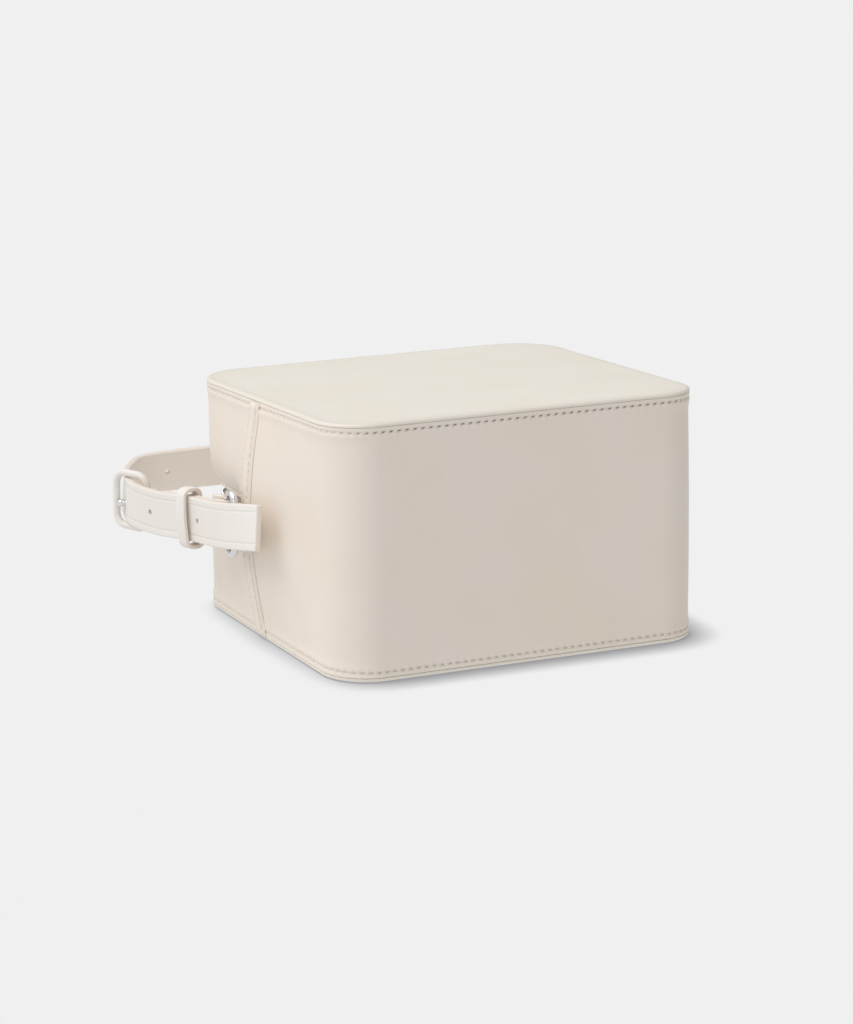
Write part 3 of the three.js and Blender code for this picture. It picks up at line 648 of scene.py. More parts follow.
def footEdge(y):
    return wallFoot + 0 * y


def topEdge(y):
    return depthAt(y) - wallFoot


def zipLow(y):
    return midLevel(y) - wall["zipOpening"] / 2


def zipHigh(y):
    return midLevel(y) + wall["zipOpening"] / 2


flapStart, flapEnd = mainGirth + seamGap, outlineLength - seamGap
wallPiece("main_gusset_leather", seamGap, mainGirth - seamGap, footEdge, topEdge, 12, ["main_gusset"])
wallPiece("lower_flap_leather", flapStart, flapEnd, footEdge, zipLow, 5, ["zip_gusset_lower"])
wallPiece("upper_flap_leather", flapStart, flapEnd, zipHigh, topEdge, 5, ["zip_gusset_upper"])
print("walls done")


# Stitches

def stitchRow(name, centres, along, out):
    # Each stitch is a short round thread whose ends dive in: height = radius * (1 - 2 (2t - 1)^4), thinning
    # towards both ends, turned a little across the row
    side = np.cross(out, along)
    slant = math.radians(stitch["slant"])
    rows, sides = 7, 6
    t = np.linspace(0, 1, rows)
    angle = np.linspace(0, 2 * math.pi, sides, endpoint=False)
    radius = stitch["thread"] * (1 - 0.55 * np.abs(2 * t - 1) ** 3)
    dive = stitch["thread"] * (0.5 - 2.2 * np.abs(2 * t - 1) ** 4)
    run = (t - 0.5) * stitch["length"]
    forward = run[:, None] + 0 * angle
    across = radius[:, None] * np.cos(angle)
    above = dive[:, None] + radius[:, None] * np.sin(angle)
    turnedForward = forward * math.cos(slant) - across * math.sin(slant)
    turnedAcross = forward * math.sin(slant) + across * math.cos(slant)
    shape = np.stack([turnedForward, turnedAcross, above], axis=-1).reshape(-1, 3)
    points = (centres[:, None] + along[:, None] * shape[None, :, :1] + side[:, None] * shape[None, :, 1:2]
              + out[:, None] * shape[None, :, 2:])
    one = gridFaces(rows, sides, False, True)
    one += stripCap(0, sides, True) + stripCap((rows - 1) * sides, sides, False)
    faces = [[corner + k * rows * sides for corner in face] for k in range(len(centres)) for face in one]
    return makePiece(name, points, faces, threadWax)


def wallStitches(name, start, end, edge, towards):
    # A row on the wall at a set distance from an edge. Threads lie between the needle holes of the finish.
    first = math.ceil(start / stitch["pitch"] + stitch["spare"])
    last = math.floor(end / stitch["pitch"] - stitch["spare"])
    distance = np.arange(first, last + 1) * stitch["pitch"]
    reach = towards * stitch["fromEdge"]
    inset = stitch["pull"]

    def at(shift, rise=0.0, depth=inset):
        y = outlineAt(distance + shift)[1]
        return wallPoint(distance + shift, edge(y) + reach + rise, depth)

    along = unit(at(0.4) - at(-0.4))
    out = unit(np.cross(at(0, 0.4) - at(0, -0.4), along))
    outward = at(0, 0, inset - 1) - at(0, 0, inset)
    out *= np.sign(np.einsum("ij,ij->i", out, outward))[:, None]
    return stitchRow(name, at(0), along, out)


mainRow = (seamGap + stitch["fromStrip"], mainGirth - seamGap - stitch["fromStrip"])
flapRow = (mainGirth + stitch["flapFromStrip"], outlineLength - stitch["flapFromStrip"])
for rowName, rowSpan, rowEdge, towards in (
        ("main_stitches_low", mainRow, footEdge, 1), ("main_stitches_high", mainRow, topEdge, -1),
        ("flap_stitches_low", flapRow, footEdge, 1), ("flap_stitches_high", flapRow, topEdge, -1),
        ("zip_stitches_low", flapRow, zipLow, -1), ("zip_stitches_high", flapRow, zipHigh, 1)):
    wallStitches(rowName, *rowSpan, rowEdge, towards)
print("stitches done")


# Strips over the two end seams

strip = {
    "width": 10.0,
    "leather": 1.2,
    "clear": 0.08,         # from the wall under it
    "thinned": 0.9,        # how much of the leather is gone at its edges
    "skive": 2.0,          # how far in the leather thins towards its long edges
    "stitchIn": 1.9,       # from each long edge
    "groove": 0.22,
    "pucker": 0.06,
    "step": 1.0,
}
stripAcross = np.array([0, 0.06, 0.2, 0.5, 1.1, 1.5, 1.9, 2.3, 2.8, 3.9])


def endStrip(name, seam, replaced):
    # Rings across the strip's width, carried up the wall. Its leather thins at all its edges, and its face
    # drops along both stitch rows.
    fromEdge = np.concatenate([stripAcross, [strip["width"] / 2], stripAcross[::-1]])
    half = np.ones(len(stripAcross))
    across = np.concatenate([-half, [0], half]) * (strip["width"] / 2 - fromEdge)
    y = outlineAt(seam)[1]
    low, high = wallFoot, float(depthAt(y)) - wallFoot
    ends = np.array([0, 0.06, 0.2, 0.5])
    middle = np.linspace(low + 1.2, high - 1.2, int((high - low) / strip["step"]))
    height = np.concatenate([low + ends, middle, high - ends[::-1]])[:, None]
    fromEnd = np.minimum(height - low, high - height)
    phase = height / stitch["pitch"]
    thinnest = strip["leather"] * strip["thinned"]
    skive = thinnest * (1 - smoothstep(fromEdge, -0.2, strip["skive"]))
    endSkive = thinnest * (1 - smoothstep(fromEnd, 0, strip["skive"]))
    fromRow = fromEdge - strip["stitchIn"]
    drop = (np.maximum(skive[None, :], endSkive)
            + strip["groove"] * bump(fromRow, 0.5)[None, :]
            - strip["pucker"] * np.cos(2 * math.pi * phase) * bump(fromRow, 1.0)[None, :])
    base = -(strip["clear"] + strip["leather"])
    outer = wallPoint(seam + across[None, :] + 0 * height, height + 0 * across, base + drop)
    inner = wallPoint(seam + across[None, ::-1] + 0 * height, height + 0 * across, -strip["clear"] + 0 * drop)
    rings = np.concatenate([outer, inner], axis=1)
    far = np.full((len(height), len(across)), stitch["far"])
    gap = np.abs(fromRow)[None, :] + 0 * height
    # the strip's needle holes take the ends' faint painted shade
    marks = {"stitchRun": np.concatenate([phase + 0 * far, phase + 0 * far], axis=1),
             "stitchGap": np.concatenate([gap, far], axis=1),
             "stitchGape": 0 * rings[..., 0] + stitch["endGape"]}
    sweptPiece(name, rings, wallLeather, replaced, marks)
    steps = np.arange(math.ceil(low / stitch["pitch"] + 0.6), math.floor(high / stitch["pitch"] - 0.6) + 1)
    for side in (-1, 1):
        place = np.full(len(steps), seam + side * (strip["width"] / 2 - strip["stitchIn"]))

        def at(rise, inset=base + strip["groove"]):
            return wallPoint(place, steps * stitch["pitch"] + rise, inset)

        along = unit(at(0.4) - at(-0.4))
        out = unit(at(0, base - 1) - at(0, base))
        stitchRow(f"{name}_stitches_{'low' if side < 0 else 'high'}", at(0), along, out)


endStrip("end_strip_left_leather", outlineLength, ["end_strip_left"])
endStrip("end_strip_right_leather", mainGirth, ["end_strip_right"])
print("end strips done")


# Bands and loops: how straps, tabs, rings and frames are shaped

def smoothCurve(points, steps):
    # Centripetal Catmull-Rom: each span is a cubic between two points, whose slope at each point is the mean
    # speed before + after - across, with times that grow as the square root of the distances
    points = np.asarray(points, float)
    ends = np.concatenate([[2 * points[0] - points[1]], points, [2 * points[-1] - points[-2]]])
    gaps = np.sqrt(np.linalg.norm(np.diff(ends, axis=0), axis=1))[:, None]
    speed = np.diff(ends, axis=0) / gaps
    slope = speed[:-1] + speed[1:] - (ends[2:] - ends[:-2]) / (gaps[1:] + gaps[:-1])
    start, stop = points[:-1, None], points[1:, None]
    first, last = (slope[:-1] * gaps[1:-1])[:, None], (slope[1:] * gaps[1:-1])[:, None]
    t = (np.arange(steps) / steps)[None, :, None]
    curve = (start + first * t + (3 * (stop - start) - 2 * first - last) * t ** 2
             + (2 * (start - stop) + first + last) * t ** 3)
    return np.concatenate([curve.reshape(-1, points.shape[1]), points[-1:]])


def bandPiece(name, middle, up, half, rise, section, finish, replaced, endMark=None):
    # A flat band along a row of points. "section" holds distances from the edge and drops below the face,
    # "half" is its half width and "rise" its half thickness, both along the band.
    along = unit(np.gradient(middle, axis=0))
    out = unit(np.cross(up, along))
    up = np.cross(along, out)
    fromEdge, drop = section["fromEdge"][None, :], section["drop"][None, :]
    half, rise = half[:, None], rise[:, None]
    left = np.minimum(fromEdge - half, 0)
    across = np.concatenate([left, -left[:, ::-1]], axis=1)
    face = np.concatenate([rise - drop, (rise - drop)[:, ::-1]], axis=1)
    plain = np.concatenate([section["plainDrop"], section["plainDrop"][::-1]])[None, :]
    back = -(rise - plain)
    rings = np.concatenate([
        middle[:, None] + up[:, None] * across[..., None] + out[:, None] * face[..., None],
        middle[:, None] + up[:, None] * -across[..., None] + out[:, None] * back[..., None],
    ], axis=1)
    rows = len(middle)
    mirror = [np.concatenate([section[key], section[key][::-1]]) for key in ("edge", "crease")]
    edge = np.tile(np.concatenate([mirror[0], mirror[0]]), (rows, 1))
    if endMark is not None:
        edge = np.maximum(edge, endMark[:, None])
    crease = np.tile(np.concatenate([mirror[1], 0 * mirror[1]]), (rows, 1))
    inside = np.tile(np.concatenate([0 * mirror[0], 1 + 0 * mirror[0]]), (rows, 1))
    marks = {"edgePaint": edge, "crease": crease, "inside": inside}
    return sweptPiece(name, rings, finish, replaced, marks)


def bandSection(edgeRadius, creaseIn=None, creaseDepth=0.0):
    # Half of a band's section from its edge inwards: a quarter circle, then the face with a creased line
    arc = np.linspace(0, math.pi / 2, 6)
    fromEdge = edgeRadius * (1 - np.cos(arc))
    drop = edgeRadius * (1 - np.sin(arc))
    edge = (arc < 0.9).astype(float)
    flat = [edgeRadius + 0.35]
    if creaseIn:
        flat += [creaseIn + shift for shift in (-1.0, -0.55, -0.28, 0, 0.28, 0.55, 1.0)]
        flat += [creaseIn + 2.6]
    else:
        flat += [2.2]
    flat = np.array(flat)
    dent = creaseDepth * bump(flat - creaseIn, 0.34) if creaseIn else 0 * flat
    mark = bump(flat - creaseIn, 0.4) if creaseIn else 0 * flat
    return {
        "fromEdge": np.concatenate([fromEdge, flat]),
        "drop": np.concatenate([drop, dent]),
        "plainDrop": np.concatenate([drop, 0 * flat]),
        "edge": np.concatenate([edge, 0 * flat]),
        "crease": np.concatenate([0 * arc, mark]),
    }


def roundSection(radius, sides=16):
    angle = np.linspace(0, 2 * math.pi, sides, endpoint=False)
    return np.stack([radius * np.cos(angle), radius * np.sin(angle)], axis=-1)


def flatSection(thickness, width, edgeRadius):
    # A rectangle with rounded corners, as distances away from the loop's middle and along its axis
    arc = np.linspace(0, math.pi / 2, 5)
    corners = []
    for turn in range(4):
        sideA, sideB = ((1, 1), (-1, 1), (-1, -1), (1, -1))[turn]
        angle = arc + turn * math.pi / 2
        corners.append(np.stack([sideA * (thickness / 2 - edgeRadius) + edgeRadius * np.cos(angle),
                                 sideB * (width / 2 - edgeRadius) + edgeRadius * np.sin(angle)], axis=-1))
    return np.concatenate(corners)


def loopRings(centre, across, up, wide, tall, corner, section, turn=10):
    # A closed loop: the section carried round four quarter turns that straight sides join
    axis = np.cross(across, up)
    rows = []
    for quarter, (sideA, sideB) in enumerate(((1, 1), (-1, 1), (-1, -1), (1, -1))):
        angle = np.linspace(0, math.pi / 2, turn + 1)[:, None] + quarter * math.pi / 2
        away = across * np.cos(angle) + up * np.sin(angle)
        turnAt = centre + across * sideA * (wide / 2 - corner) + up * sideB * (tall / 2 - corner)
        middle = turnAt + away * corner
        rows.append(middle[:, None] + away[:, None] * section[None, :, :1] + axis * section[None, :, 1:])
    joined = []
    for row, following in zip(rows, rows[1:] + rows[:1]):
        t = np.linspace(0, 1, 9)[1:-1, None, None]
        joined += [row, lerp(row[-1:], following[:1], t)]
    return np.concatenate(joined)


# Hardware of the two ends

hardware = {
    "ringPastSeam": 4.0,
    "ringTall": 31.0,
    "ringWide": 12.5,
    "wire": 3.4,
    "ringCorner": 4.5,
    "tabWidth": 20.0,
    "tabLeather": 1.6,
    "tabEdge": 0.45,       # radius
    "tabLength": 11.0,
}
clear = bag["clearance"]
endFace, mouthFace = bag["length"] / 2, bag["height"] / 2
ringPlace = bag["seamHeight"] + hardware["ringPastSeam"]
ringLevel = float(midLevel(ringPlace))
stripOut = wall["endBelly"] - wall["seamFlare"] + clear + strip["leather"]
tabFoldRadius = (hardware["wire"] + hardware["tabLeather"]) / 2 + clear
ringOut = stripOut + clear + hardware["tabLeather"] / 2 + tabFoldRadius
ringBarOffset = (hardware["ringWide"] - hardware["wire"]) / 2
zUp = np.array([0.0, 0.0, 1.0])
towardsMouth = np.array([0.0, 1.0, 0.0])
foldAngles = np.radians([-80, -52, -26, 0, 26, 52, 90])


def onEnd(side, out, along, height):
    return np.array([side * (endFace + out) + bag["leanAlong"] / 2, along + bag["leanUp"] / 2, height])


def foldRound(bar, along, out, radius, thickness, length):
    # From the end of a fold's inner layer, round the bar, to the start of its outer layer:
    # bar - radius * cos(angle) * along + radius * sin(angle) * out
    under = radius - thickness - clear
    inner = [(length, under), (length * 0.75, under * 0.6), (length * 0.4, -radius * 0.7)]
    turn = [(-radius * math.cos(angle), radius * math.sin(angle)) for angle in foldAngles]
    return np.array([bar + along * a + out * b for a, b in inner + turn])


tabSection = bandSection(hardware["tabEdge"])


def ringAndTab(sideName, side):
    out = np.array([float(side), 0.0, 0.0])
    centre = onEnd(side, ringOut, ringPlace, ringLevel)
    wire = hardware["wire"]
    ring = loopRings(centre, towardsMouth, zUp, hardware["ringWide"] - wire, hardware["ringTall"] - wire,
                     hardware["ringCorner"], roundSection(wire / 2), 12)
    sweptPiece(f"ring_{sideName}_metal", ring, silver, [f"ring_{sideName}"], closed=True)
    bar = onEnd(side, ringOut, ringPlace - ringBarOffset, ringLevel)
    length, radius, thick = hardware["tabLength"], tabFoldRadius, hardware["tabLeather"]
    outerLayer = -radius + thick + clear
    turn = foldRound(bar, -towardsMouth, out, radius, thick, length)[-len(foldAngles):]
    layer = [bar - towardsMouth * share * length + out * height for share, height in
             ((1, -radius), (0.5, -radius), (0.1, -radius))]
    outer = [bar - towardsMouth * share * length + out * height for share, height in
             ((0.28, radius * 0.8), (0.62, outerLayer), (1, outerLayer))]
    middle = smoothCurve(np.array([*layer, *turn, *outer]), 5)
    rows = len(middle)
    bandPiece(f"ring_tab_{sideName}_leather", middle, np.tile(zUp, (rows, 1)),
              np.full(rows, hardware["tabWidth"] / 2), np.full(rows, thick / 2), tabSection, strapLeather,
              [f"ring_tab_{sideName}"])
    count = int(hardware["tabWidth"] / stitch["pitch"]) - 1
    heights = ringLevel + (np.arange(count) - (count - 1) / 2) * stitch["pitch"]
    foot = bar - towardsMouth * 0.8 * length + out * (outerLayer + thick / 2)
    centres = np.stack([foot[0] + 0 * heights, foot[1] + 0 * heights, heights], axis=-1)
    stitchRow(f"ring_tab_{sideName}_stitches", centres, np.tile(zUp, (count, 1)), np.tile(out, (count, 1)))


ringAndTab("left", -1)
ringAndTab("right", 1)
print("rings and tabs done")


# Handle: its route, then the two straps, the buckle, the prong and the keeper

handle = {
    "width": 20.5,
    "tongueLeather": 3.0,
    "buckleLeather": 2.0,
    "foldLength": 13.0,
    "corner": 0.9,
    "tailPastRing": 36.0,
    "tailTowardsBag": 4.1,
    "tailRise": 6.2,
    "reach": 30.5,
    "mouthStandOff": 38.5,
    "hole": 2.4,
    "holePitch": 38.7,
    "firstHole": 17.7,
    "tailLean": -9.0,
    "holeCount": 4,
    "creaseIn": 3.3,
    "creaseDepth": 0.2,
    "edgeRadius": 0.7,
    "backEdgeRadius": 0.5,    # of the buckle strap
    "step": 1.6,
    # side, stack, reach, level, rise, deep and lean, as the solids have them
    "route": [
        (-1, -1, 0, 0, 0, 1, 0), (-1, -1, -0.26, 0.365, 0, 0.95, 0), (-1, -1, -0.72, 0.7, 0, 0.905, 0),
        (-1, -1, -1, 0.93, 0, 0.905, 0), (-1, -1, -1, 1, 0.2, 0.915, 0),
        (-1, -1, -0.76, 1, 0.5, 0.93, -4), (-1, -1, -0.22, 1, 0.77, 0.945, -8),
        (-1, -0.9, 0, 1, 0.92, 0.955, -10), (-1.1, 0, 0, 1, 1, 0.965, -12),
        (-0.92, 0, 0, 1, 0.985, 0.98, -12), (-0.67, 0, 0, 1, 0.88, 1, -12), (-0.34, 0, 0, 1, 0.77, 1, -10),
        (0, 0, 0, 1, 0.71, 1, -8), (0.45, 0, 0, 1, 0.71, 1, -6), (0.84, 0, 0, 1, 0.66, 1, -4),
        (1.07, 0, 0, 1, 0.44, 1, -2), (1, 0.87, 0, 1, 0, 1, 0), (1, 1.08, 0, 0.7, 0, 1, 0),
        (1, 1, 0, 0.36, 0, 1, 0),
    ],
}
buckle = {
    "place": 71.0,
    "tall": 28.6,
    "wide": 22.0,
    "tube": 3.4,
    "corner": 5.5,
    "tilt": 22.0,
    "press": 1.5,
    "pressReach": 10.0,
    "hingeStrapWidth": 14.0,
    "foldClear": 8.5,      # between a fold's bar and the stretch of strap that runs free
    "prongWire": 2.2,
    "prongTip": 3.8,
    "prongRest": 20.0,
    "prongDroop": 2.0,
    "keeperPlace": 27.7,
    "keeperBand": 7.0,
    "keeperLeather": 1.8,
    "keeperTall": 28.0,
    "keeperCorner": 3.0,
    "keeperBow": 1.1,      # how far its face bulges at half height
}
strapStack = (ringOut + hardware["wire"] / 2 + handle["buckleLeather"] + handle["tongueLeather"] / 2
              + 2 * clear)
tongueFoldRadius = (hardware["wire"] + handle["tongueLeather"]) / 2 + clear


def routePoints():
    # Shares of the bag's sizes turned into places, with the tail before them and the right ring's fold after
    side, stack, reach, level, rise, deep, lean = np.array(handle["route"], float).T
    x = side * endFace + stack * strapStack + reach * (handle["reach"] - strapStack) + bag["leanAlong"] / 2
    y = lerp(ringPlace, mouthFace, level) + rise * handle["mouthStandOff"] + bag["leanUp"] / 2
    tail = onEnd(-1, strapStack - handle["tailTowardsBag"], ringPlace - handle["tailPastRing"],
                 ringLevel + handle["tailRise"])
    landing = onEnd(1, ringOut + tongueFoldRadius, ringPlace + ringBarOffset + handle["foldLength"],
                    ringLevel)
    points = np.stack([x, y, deep * ringLevel], axis=-1)
    return (np.concatenate([[tail], points, [landing]]),
            np.concatenate([[handle["tailLean"]], lean, [lean[-1]]]))


routePlaces, routeLeans = routePoints()
curveSteps = 40
strapPoints = smoothCurve(routePlaces, curveSteps)
strapLeans = np.interp(np.arange(len(strapPoints)) / curveSteps, np.arange(len(routeLeans)), routeLeans)
strapRun = np.concatenate([[0], np.cumsum(np.linalg.norm(np.diff(strapPoints, axis=0), axis=1))])
strapRun -= strapRun[np.argmin(np.linalg.norm(strapPoints - routePlaces[1], axis=1))]
strapSlopes = np.gradient(strapPoints, strapRun, axis=0)


def strapFrame(distance):
    # Place and directions of the strap at distances from the left ring: along it, out of the loop and up
    # its width
    distance = np.atleast_1d(np.asarray(distance, float))
    point = np.stack([np.interp(distance, strapRun, strapPoints[:, k]) for k in range(3)], axis=-1)
    along = unit(np.stack([np.interp(distance, strapRun, strapSlopes[:, k]) for k in range(3)], axis=-1))
    lean = np.radians(np.interp(distance, strapRun, strapLeans))[:, None]
    flat = unit(np.cross(zUp, along))
    out = unit(np.cross(zUp * np.cos(lean) + flat * np.sin(lean), along))
    return point, along, out, np.cross(along, out)


frameSpan = buckle["wide"] - buckle["tube"]
freeBarPlace = buckle["place"] + frameSpan
hingeAt, hingeAlong, hingeOut, hingeUp = (part[0] for part in strapFrame(buckle["place"]))
hingeDepth = handle["tongueLeather"] / 2 + handle["buckleLeather"] + buckle["tube"] / 2 + 2 * clear
hingePoint = hingeAt - hingeOut * hingeDepth
frameTilt = math.radians(buckle["tilt"])
frameAlong = hingeAlong * math.cos(frameTilt) + hingeOut * math.sin(frameTilt)
frameOut = np.cross(hingeUp, frameAlong)


def meshPoints(mesh):
    flat = np.empty(3 * len(mesh.vertices), np.float32)
    mesh.vertices.foreach_get("co", flat)
    return flat.reshape(-1, 3)


def passMarks(before, after):
    # Points that a cut made take their marks from the nearest point that was there before
    old, new = meshPoints(before), meshPoints(after)
    known = {tuple(point) for point in old.tolist()}
    fresh = np.array([k for k, point in enumerate(new.tolist()) if tuple(point) not in known])
    nearest = np.array([np.argmin(((old - new[k]) ** 2).sum(axis=1)) for k in fresh])
    for layer in before.attributes:
        if layer.domain == "POINT" and layer.data_type == "FLOAT":
            source = np.empty(len(old), np.float32)
            layer.data.foreach_get("value", source)
            target = np.empty(len(new), np.float32)
            after.attributes[layer.name].data.foreach_get("value", target)
            target[fresh] = source[nearest]
            after.attributes[layer.name].data.foreach_set("value", target)


def cutWith(piece, *cutters):
    # Cuts other meshes out of a piece, keeps the result as the piece's own mesh and drops the cutters
    for cutter in cutters:
        cut = piece.modifiers.new("cut", "BOOLEAN")
        cut.operation = "DIFFERENCE"
        cut.solver = "EXACT"
        cut.object = cutter
    whole = piece.evaluated_get(bpy.context.evaluated_depsgraph_get())
    mesh = bpy.data.meshes.new_from_object(whole)
    passMarks(piece.data, mesh)
    piece.modifiers.clear()
    piece.data = mesh
    mesh.set_sharp_from_angle(angle=math.radians(50))
    for cutter in cutters:
        bpy.data.objects.remove(cutter)


def rodCutter(centre, axis, side, radius, length, sides=28):
    # A straight rod through a strap
    up = np.cross(axis, side)
    angle = np.linspace(0, 2 * math.pi, sides, endpoint=False)[:, None]
    ring = side * radius * np.cos(angle) + up * radius * np.sin(angle)
    rings = np.stack([centre - axis * length / 2 + ring, centre + axis * length / 2 + ring])
    faces = gridFaces(2, sides, False, True) + [list(range(sides)), list(range(2 * sides - 1, sides - 1, -1))]
    return meshObject("cutter", rings, faces)


def tongueStrap():
    # From its square tail round the handle's route and the right ring's bar, with punched holes
    start, end = strapRun[0], strapRun[-1]
    radius = handle["edgeRadius"]
    first = start + radius * np.array([0, 0.1, 0.35, 0.7, 1])
    run = np.concatenate([first, np.linspace(start + 1.4, end, int((end - start) / handle["step"]))])
    point, along, out, up = strapFrame(run)
    dip = buckle["press"] * bump(run - freeBarPlace, buckle["pressReach"])
    middle = point - out * dip[:, None]
    rightBar = onEnd(1, ringOut, ringPlace + ringBarOffset, ringLevel)
    fold = foldRound(rightBar, towardsMouth, np.array([1.0, 0, 0]), tongueFoldRadius, handle["tongueLeather"],
                     handle["foldLength"])[::-1]
    straight = lerp(middle[-1], fold[0], np.linspace(0, 1, 8)[1:-1, None])
    bend = smoothCurve(np.concatenate([straight[-1:], fold]), 6)[6:]
    middle = np.concatenate([middle, straight, bend])
    up = np.concatenate([up, np.tile(zUp, (len(straight) + len(bend), 1))])
    fromTail = np.concatenate([run - start, np.full(len(straight) + len(bend), 99.0)])
    half = handle["width"] / 2 - edgeRound(fromTail, handle["corner"])
    rise = handle["tongueLeather"] / 2 - edgeRound(fromTail, radius)
    section = bandSection(radius, handle["creaseIn"], handle["creaseDepth"])
    strap = bandPiece("tongue_strap_leather", middle, up, half, rise, section, strapLeather,
                      ["tongue_strap"], (fromTail < 0.3 * radius).astype(float))
    places = handle["firstHole"] + np.arange(handle["holeCount"]) * handle["holePitch"]
    places = places[np.abs(places - freeBarPlace) > buckle["wide"] / 2]
    point, along, out, up = strapFrame(places)
    length = handle["tongueLeather"] * 4
    holes = [rodCutter(p, o, a, handle["hole"] / 2, length) for p, o, a in zip(point, out, along)]
    prongHole = sweptMesh(prongRings(clear))
    cutWith(strap, *holes, prongHole)


def prongRings(spare):
    # A bent rod from the hinge bar to the ball that lies against the free bar
    wire, tip = buckle["prongWire"] / 2 + spare, buckle["prongTip"] / 2 + spare
    rest = math.radians(buckle["prongRest"])
    away = (buckle["tube"] + buckle["prongTip"]) / 2 + clear
    start = hingePoint + frameAlong * (buckle["tube"] / 2 + clear)
    end = (hingePoint + frameAlong * (frameSpan - away * math.cos(rest)) + frameOut * away * math.sin(rest)
           - hingeUp * buckle["prongDroop"])
    bend = (start + end) / 2 - frameOut * buckle["prongWire"] * 0.4
    reach = np.linalg.norm(end - start)
    ball = np.radians(np.linspace(150, 4, 14))
    share = np.concatenate([np.linspace(0, 0.86, 10), 1 + tip * np.cos(ball) / reach])
    radius = np.concatenate([np.full(10, wire), tip * np.sin(ball)])
    t = np.minimum(share, 1)[:, None]
    middle = (1 - t) ** 2 * start + 2 * t * (1 - t) * bend + t ** 2 * end
    along = unit(2 * (1 - t) * (bend - start) + 2 * t * (end - bend))
    middle = middle + along * np.maximum(0, share - 1)[:, None] * reach
    out = unit(np.cross(hingeUp, along))
    circle = roundSection(1.0, 18)
    return (middle[:, None] + out[:, None] * (radius[:, None] * circle[:, 0])[..., None]
            + hingeUp * (radius[:, None] * circle[:, 1])[..., None])


def sweptMesh(rings):
    rows, columns = rings.shape[:2]
    faces = gridFaces(rows, columns, False, True)
    faces += [list(range(columns)), list(range(rows * columns - 1, (rows - 1) * columns - 1, -1))]
    return meshObject("cutter", rings, faces)


def buckleStrap():
    # Folded round the left ring and round the buckle's hinge bar, under the tongue strap
    thick = handle["buckleLeather"]
    leftBar = onEnd(-1, ringOut, ringPlace + ringBarOffset, ringLevel)
    leftRadius = (hardware["wire"] + thick) / 2 + clear
    hingeRadius = (buckle["tube"] + thick) / 2 + clear
    left = foldRound(leftBar, towardsMouth, np.array([-1.0, 0, 0]), leftRadius, thick, handle["foldLength"])
    atHinge = foldRound(hingePoint, -hingeAlong, hingeOut, hingeRadius, thick, handle["foldLength"])[::-1]
    under = (handle["tongueLeather"] + thick) / 2 + clear
    last = buckle["place"] - buckle["foldClear"]
    run = np.arange(ringBarOffset + buckle["foldClear"], last, 4.0)
    point, along, out, up = strapFrame(run)
    narrow = smoothstep(run, last - handle["foldLength"], last)
    halfAt = lerp(handle["width"], buckle["hingeStrapWidth"], narrow) / 2
    keys = np.concatenate([left, point - out * under, atHinge])
    ups = np.concatenate([np.tile(zUp, (len(left), 1)), up, np.tile(hingeUp, (len(atHinge), 1))])
    halves = np.concatenate([np.full(len(left), handle["width"] / 2), halfAt,
                             np.full(len(atHinge), buckle["hingeStrapWidth"] / 2)])
    steps = 4
    middle = smoothCurve(keys, steps)
    place = np.arange(len(middle)) / steps
    up = unit(np.stack([np.interp(place, np.arange(len(ups)), ups[:, k]) for k in range(3)], axis=-1))
    half = np.interp(place, np.arange(len(halves)), halves)
    section = bandSection(handle["backEdgeRadius"], handle["creaseIn"], handle["creaseDepth"])
    strap = bandPiece("buckle_strap_leather", middle, up, half, np.full(len(middle), thick / 2), section,
                      strapLeather, ["buckle_strap"])
    slot = buckle["prongTip"] / 2 + clear
    size = hingeRadius * 1.3
    centre = hingePoint + frameAlong * size
    box = [centre + frameAlong * a * size + frameOut * b * size + hingeUp * c * slot
           for c in (-1, 1) for a, b in ((-1, -1), (1, -1), (1, 1), (-1, 1))]
    sides = [[0, 3, 2, 1], [4, 5, 6, 7], [0, 1, 5, 4], [1, 2, 6, 5], [2, 3, 7, 6], [3, 0, 4, 7]]
    cutWith(strap, meshObject("cutter", box, sides))


def buckleAndKeeper():
    tube = buckle["tube"]
    frameRings = loopRings(hingePoint + frameAlong * frameSpan / 2, frameAlong, hingeUp, frameSpan,
                           buckle["tall"] - tube, buckle["corner"], roundSection(tube / 2, 20), 14)
    sweptPiece("buckle_frame_covered", frameRings, plainLeather, ["buckle_frame"],
               closed=True)
    prong = prongRings(0.0)
    sweptPiece("buckle_prong_metal", prong, silver, ["buckle_prong"])
    at, along, out, up = (part[0] for part in strapFrame(buckle["keeperPlace"]))
    inside = handle["tongueLeather"] + handle["buckleLeather"] + 3 * clear
    middle = at + out * (handle["tongueLeather"] / 2 + clear - inside / 2)
    thick = buckle["keeperLeather"]
    rings = loopRings(middle, out, up, inside + thick, buckle["keeperTall"] - thick, buckle["keeperCorner"],
                      flatSection(thick, buckle["keeperBand"], 0.55), 14)
    away = ((rings - middle) @ out)[..., None]
    height = ((rings - middle) @ up)[..., None] / (buckle["keeperTall"] / 2)
    rings = rings + out * np.where(away > 0, buckle["keeperBow"] * (1 - np.clip(height, -1, 1) ** 2), 0)
    place = flatSection(thick, buckle["keeperBand"], 0.55)
    rows = len(rings)
    edge = np.tile((np.abs(place[:, 1]) > buckle["keeperBand"] / 2 - 0.3).astype(float), (rows, 1))
    inner = np.tile((place[:, 0] < -thick / 2 + 0.2).astype(float), (rows, 1))
    sweptPiece("keeper_leather", rings, strapLeather, ["keeper_loop"],
               {"edgePaint": edge, "inside": inner, "crease": 0 * edge}, closed=True)


tongueStrap()
buckleStrap()
buckleAndKeeper()
print("handle done")


# Zip: tape, teeth and slider

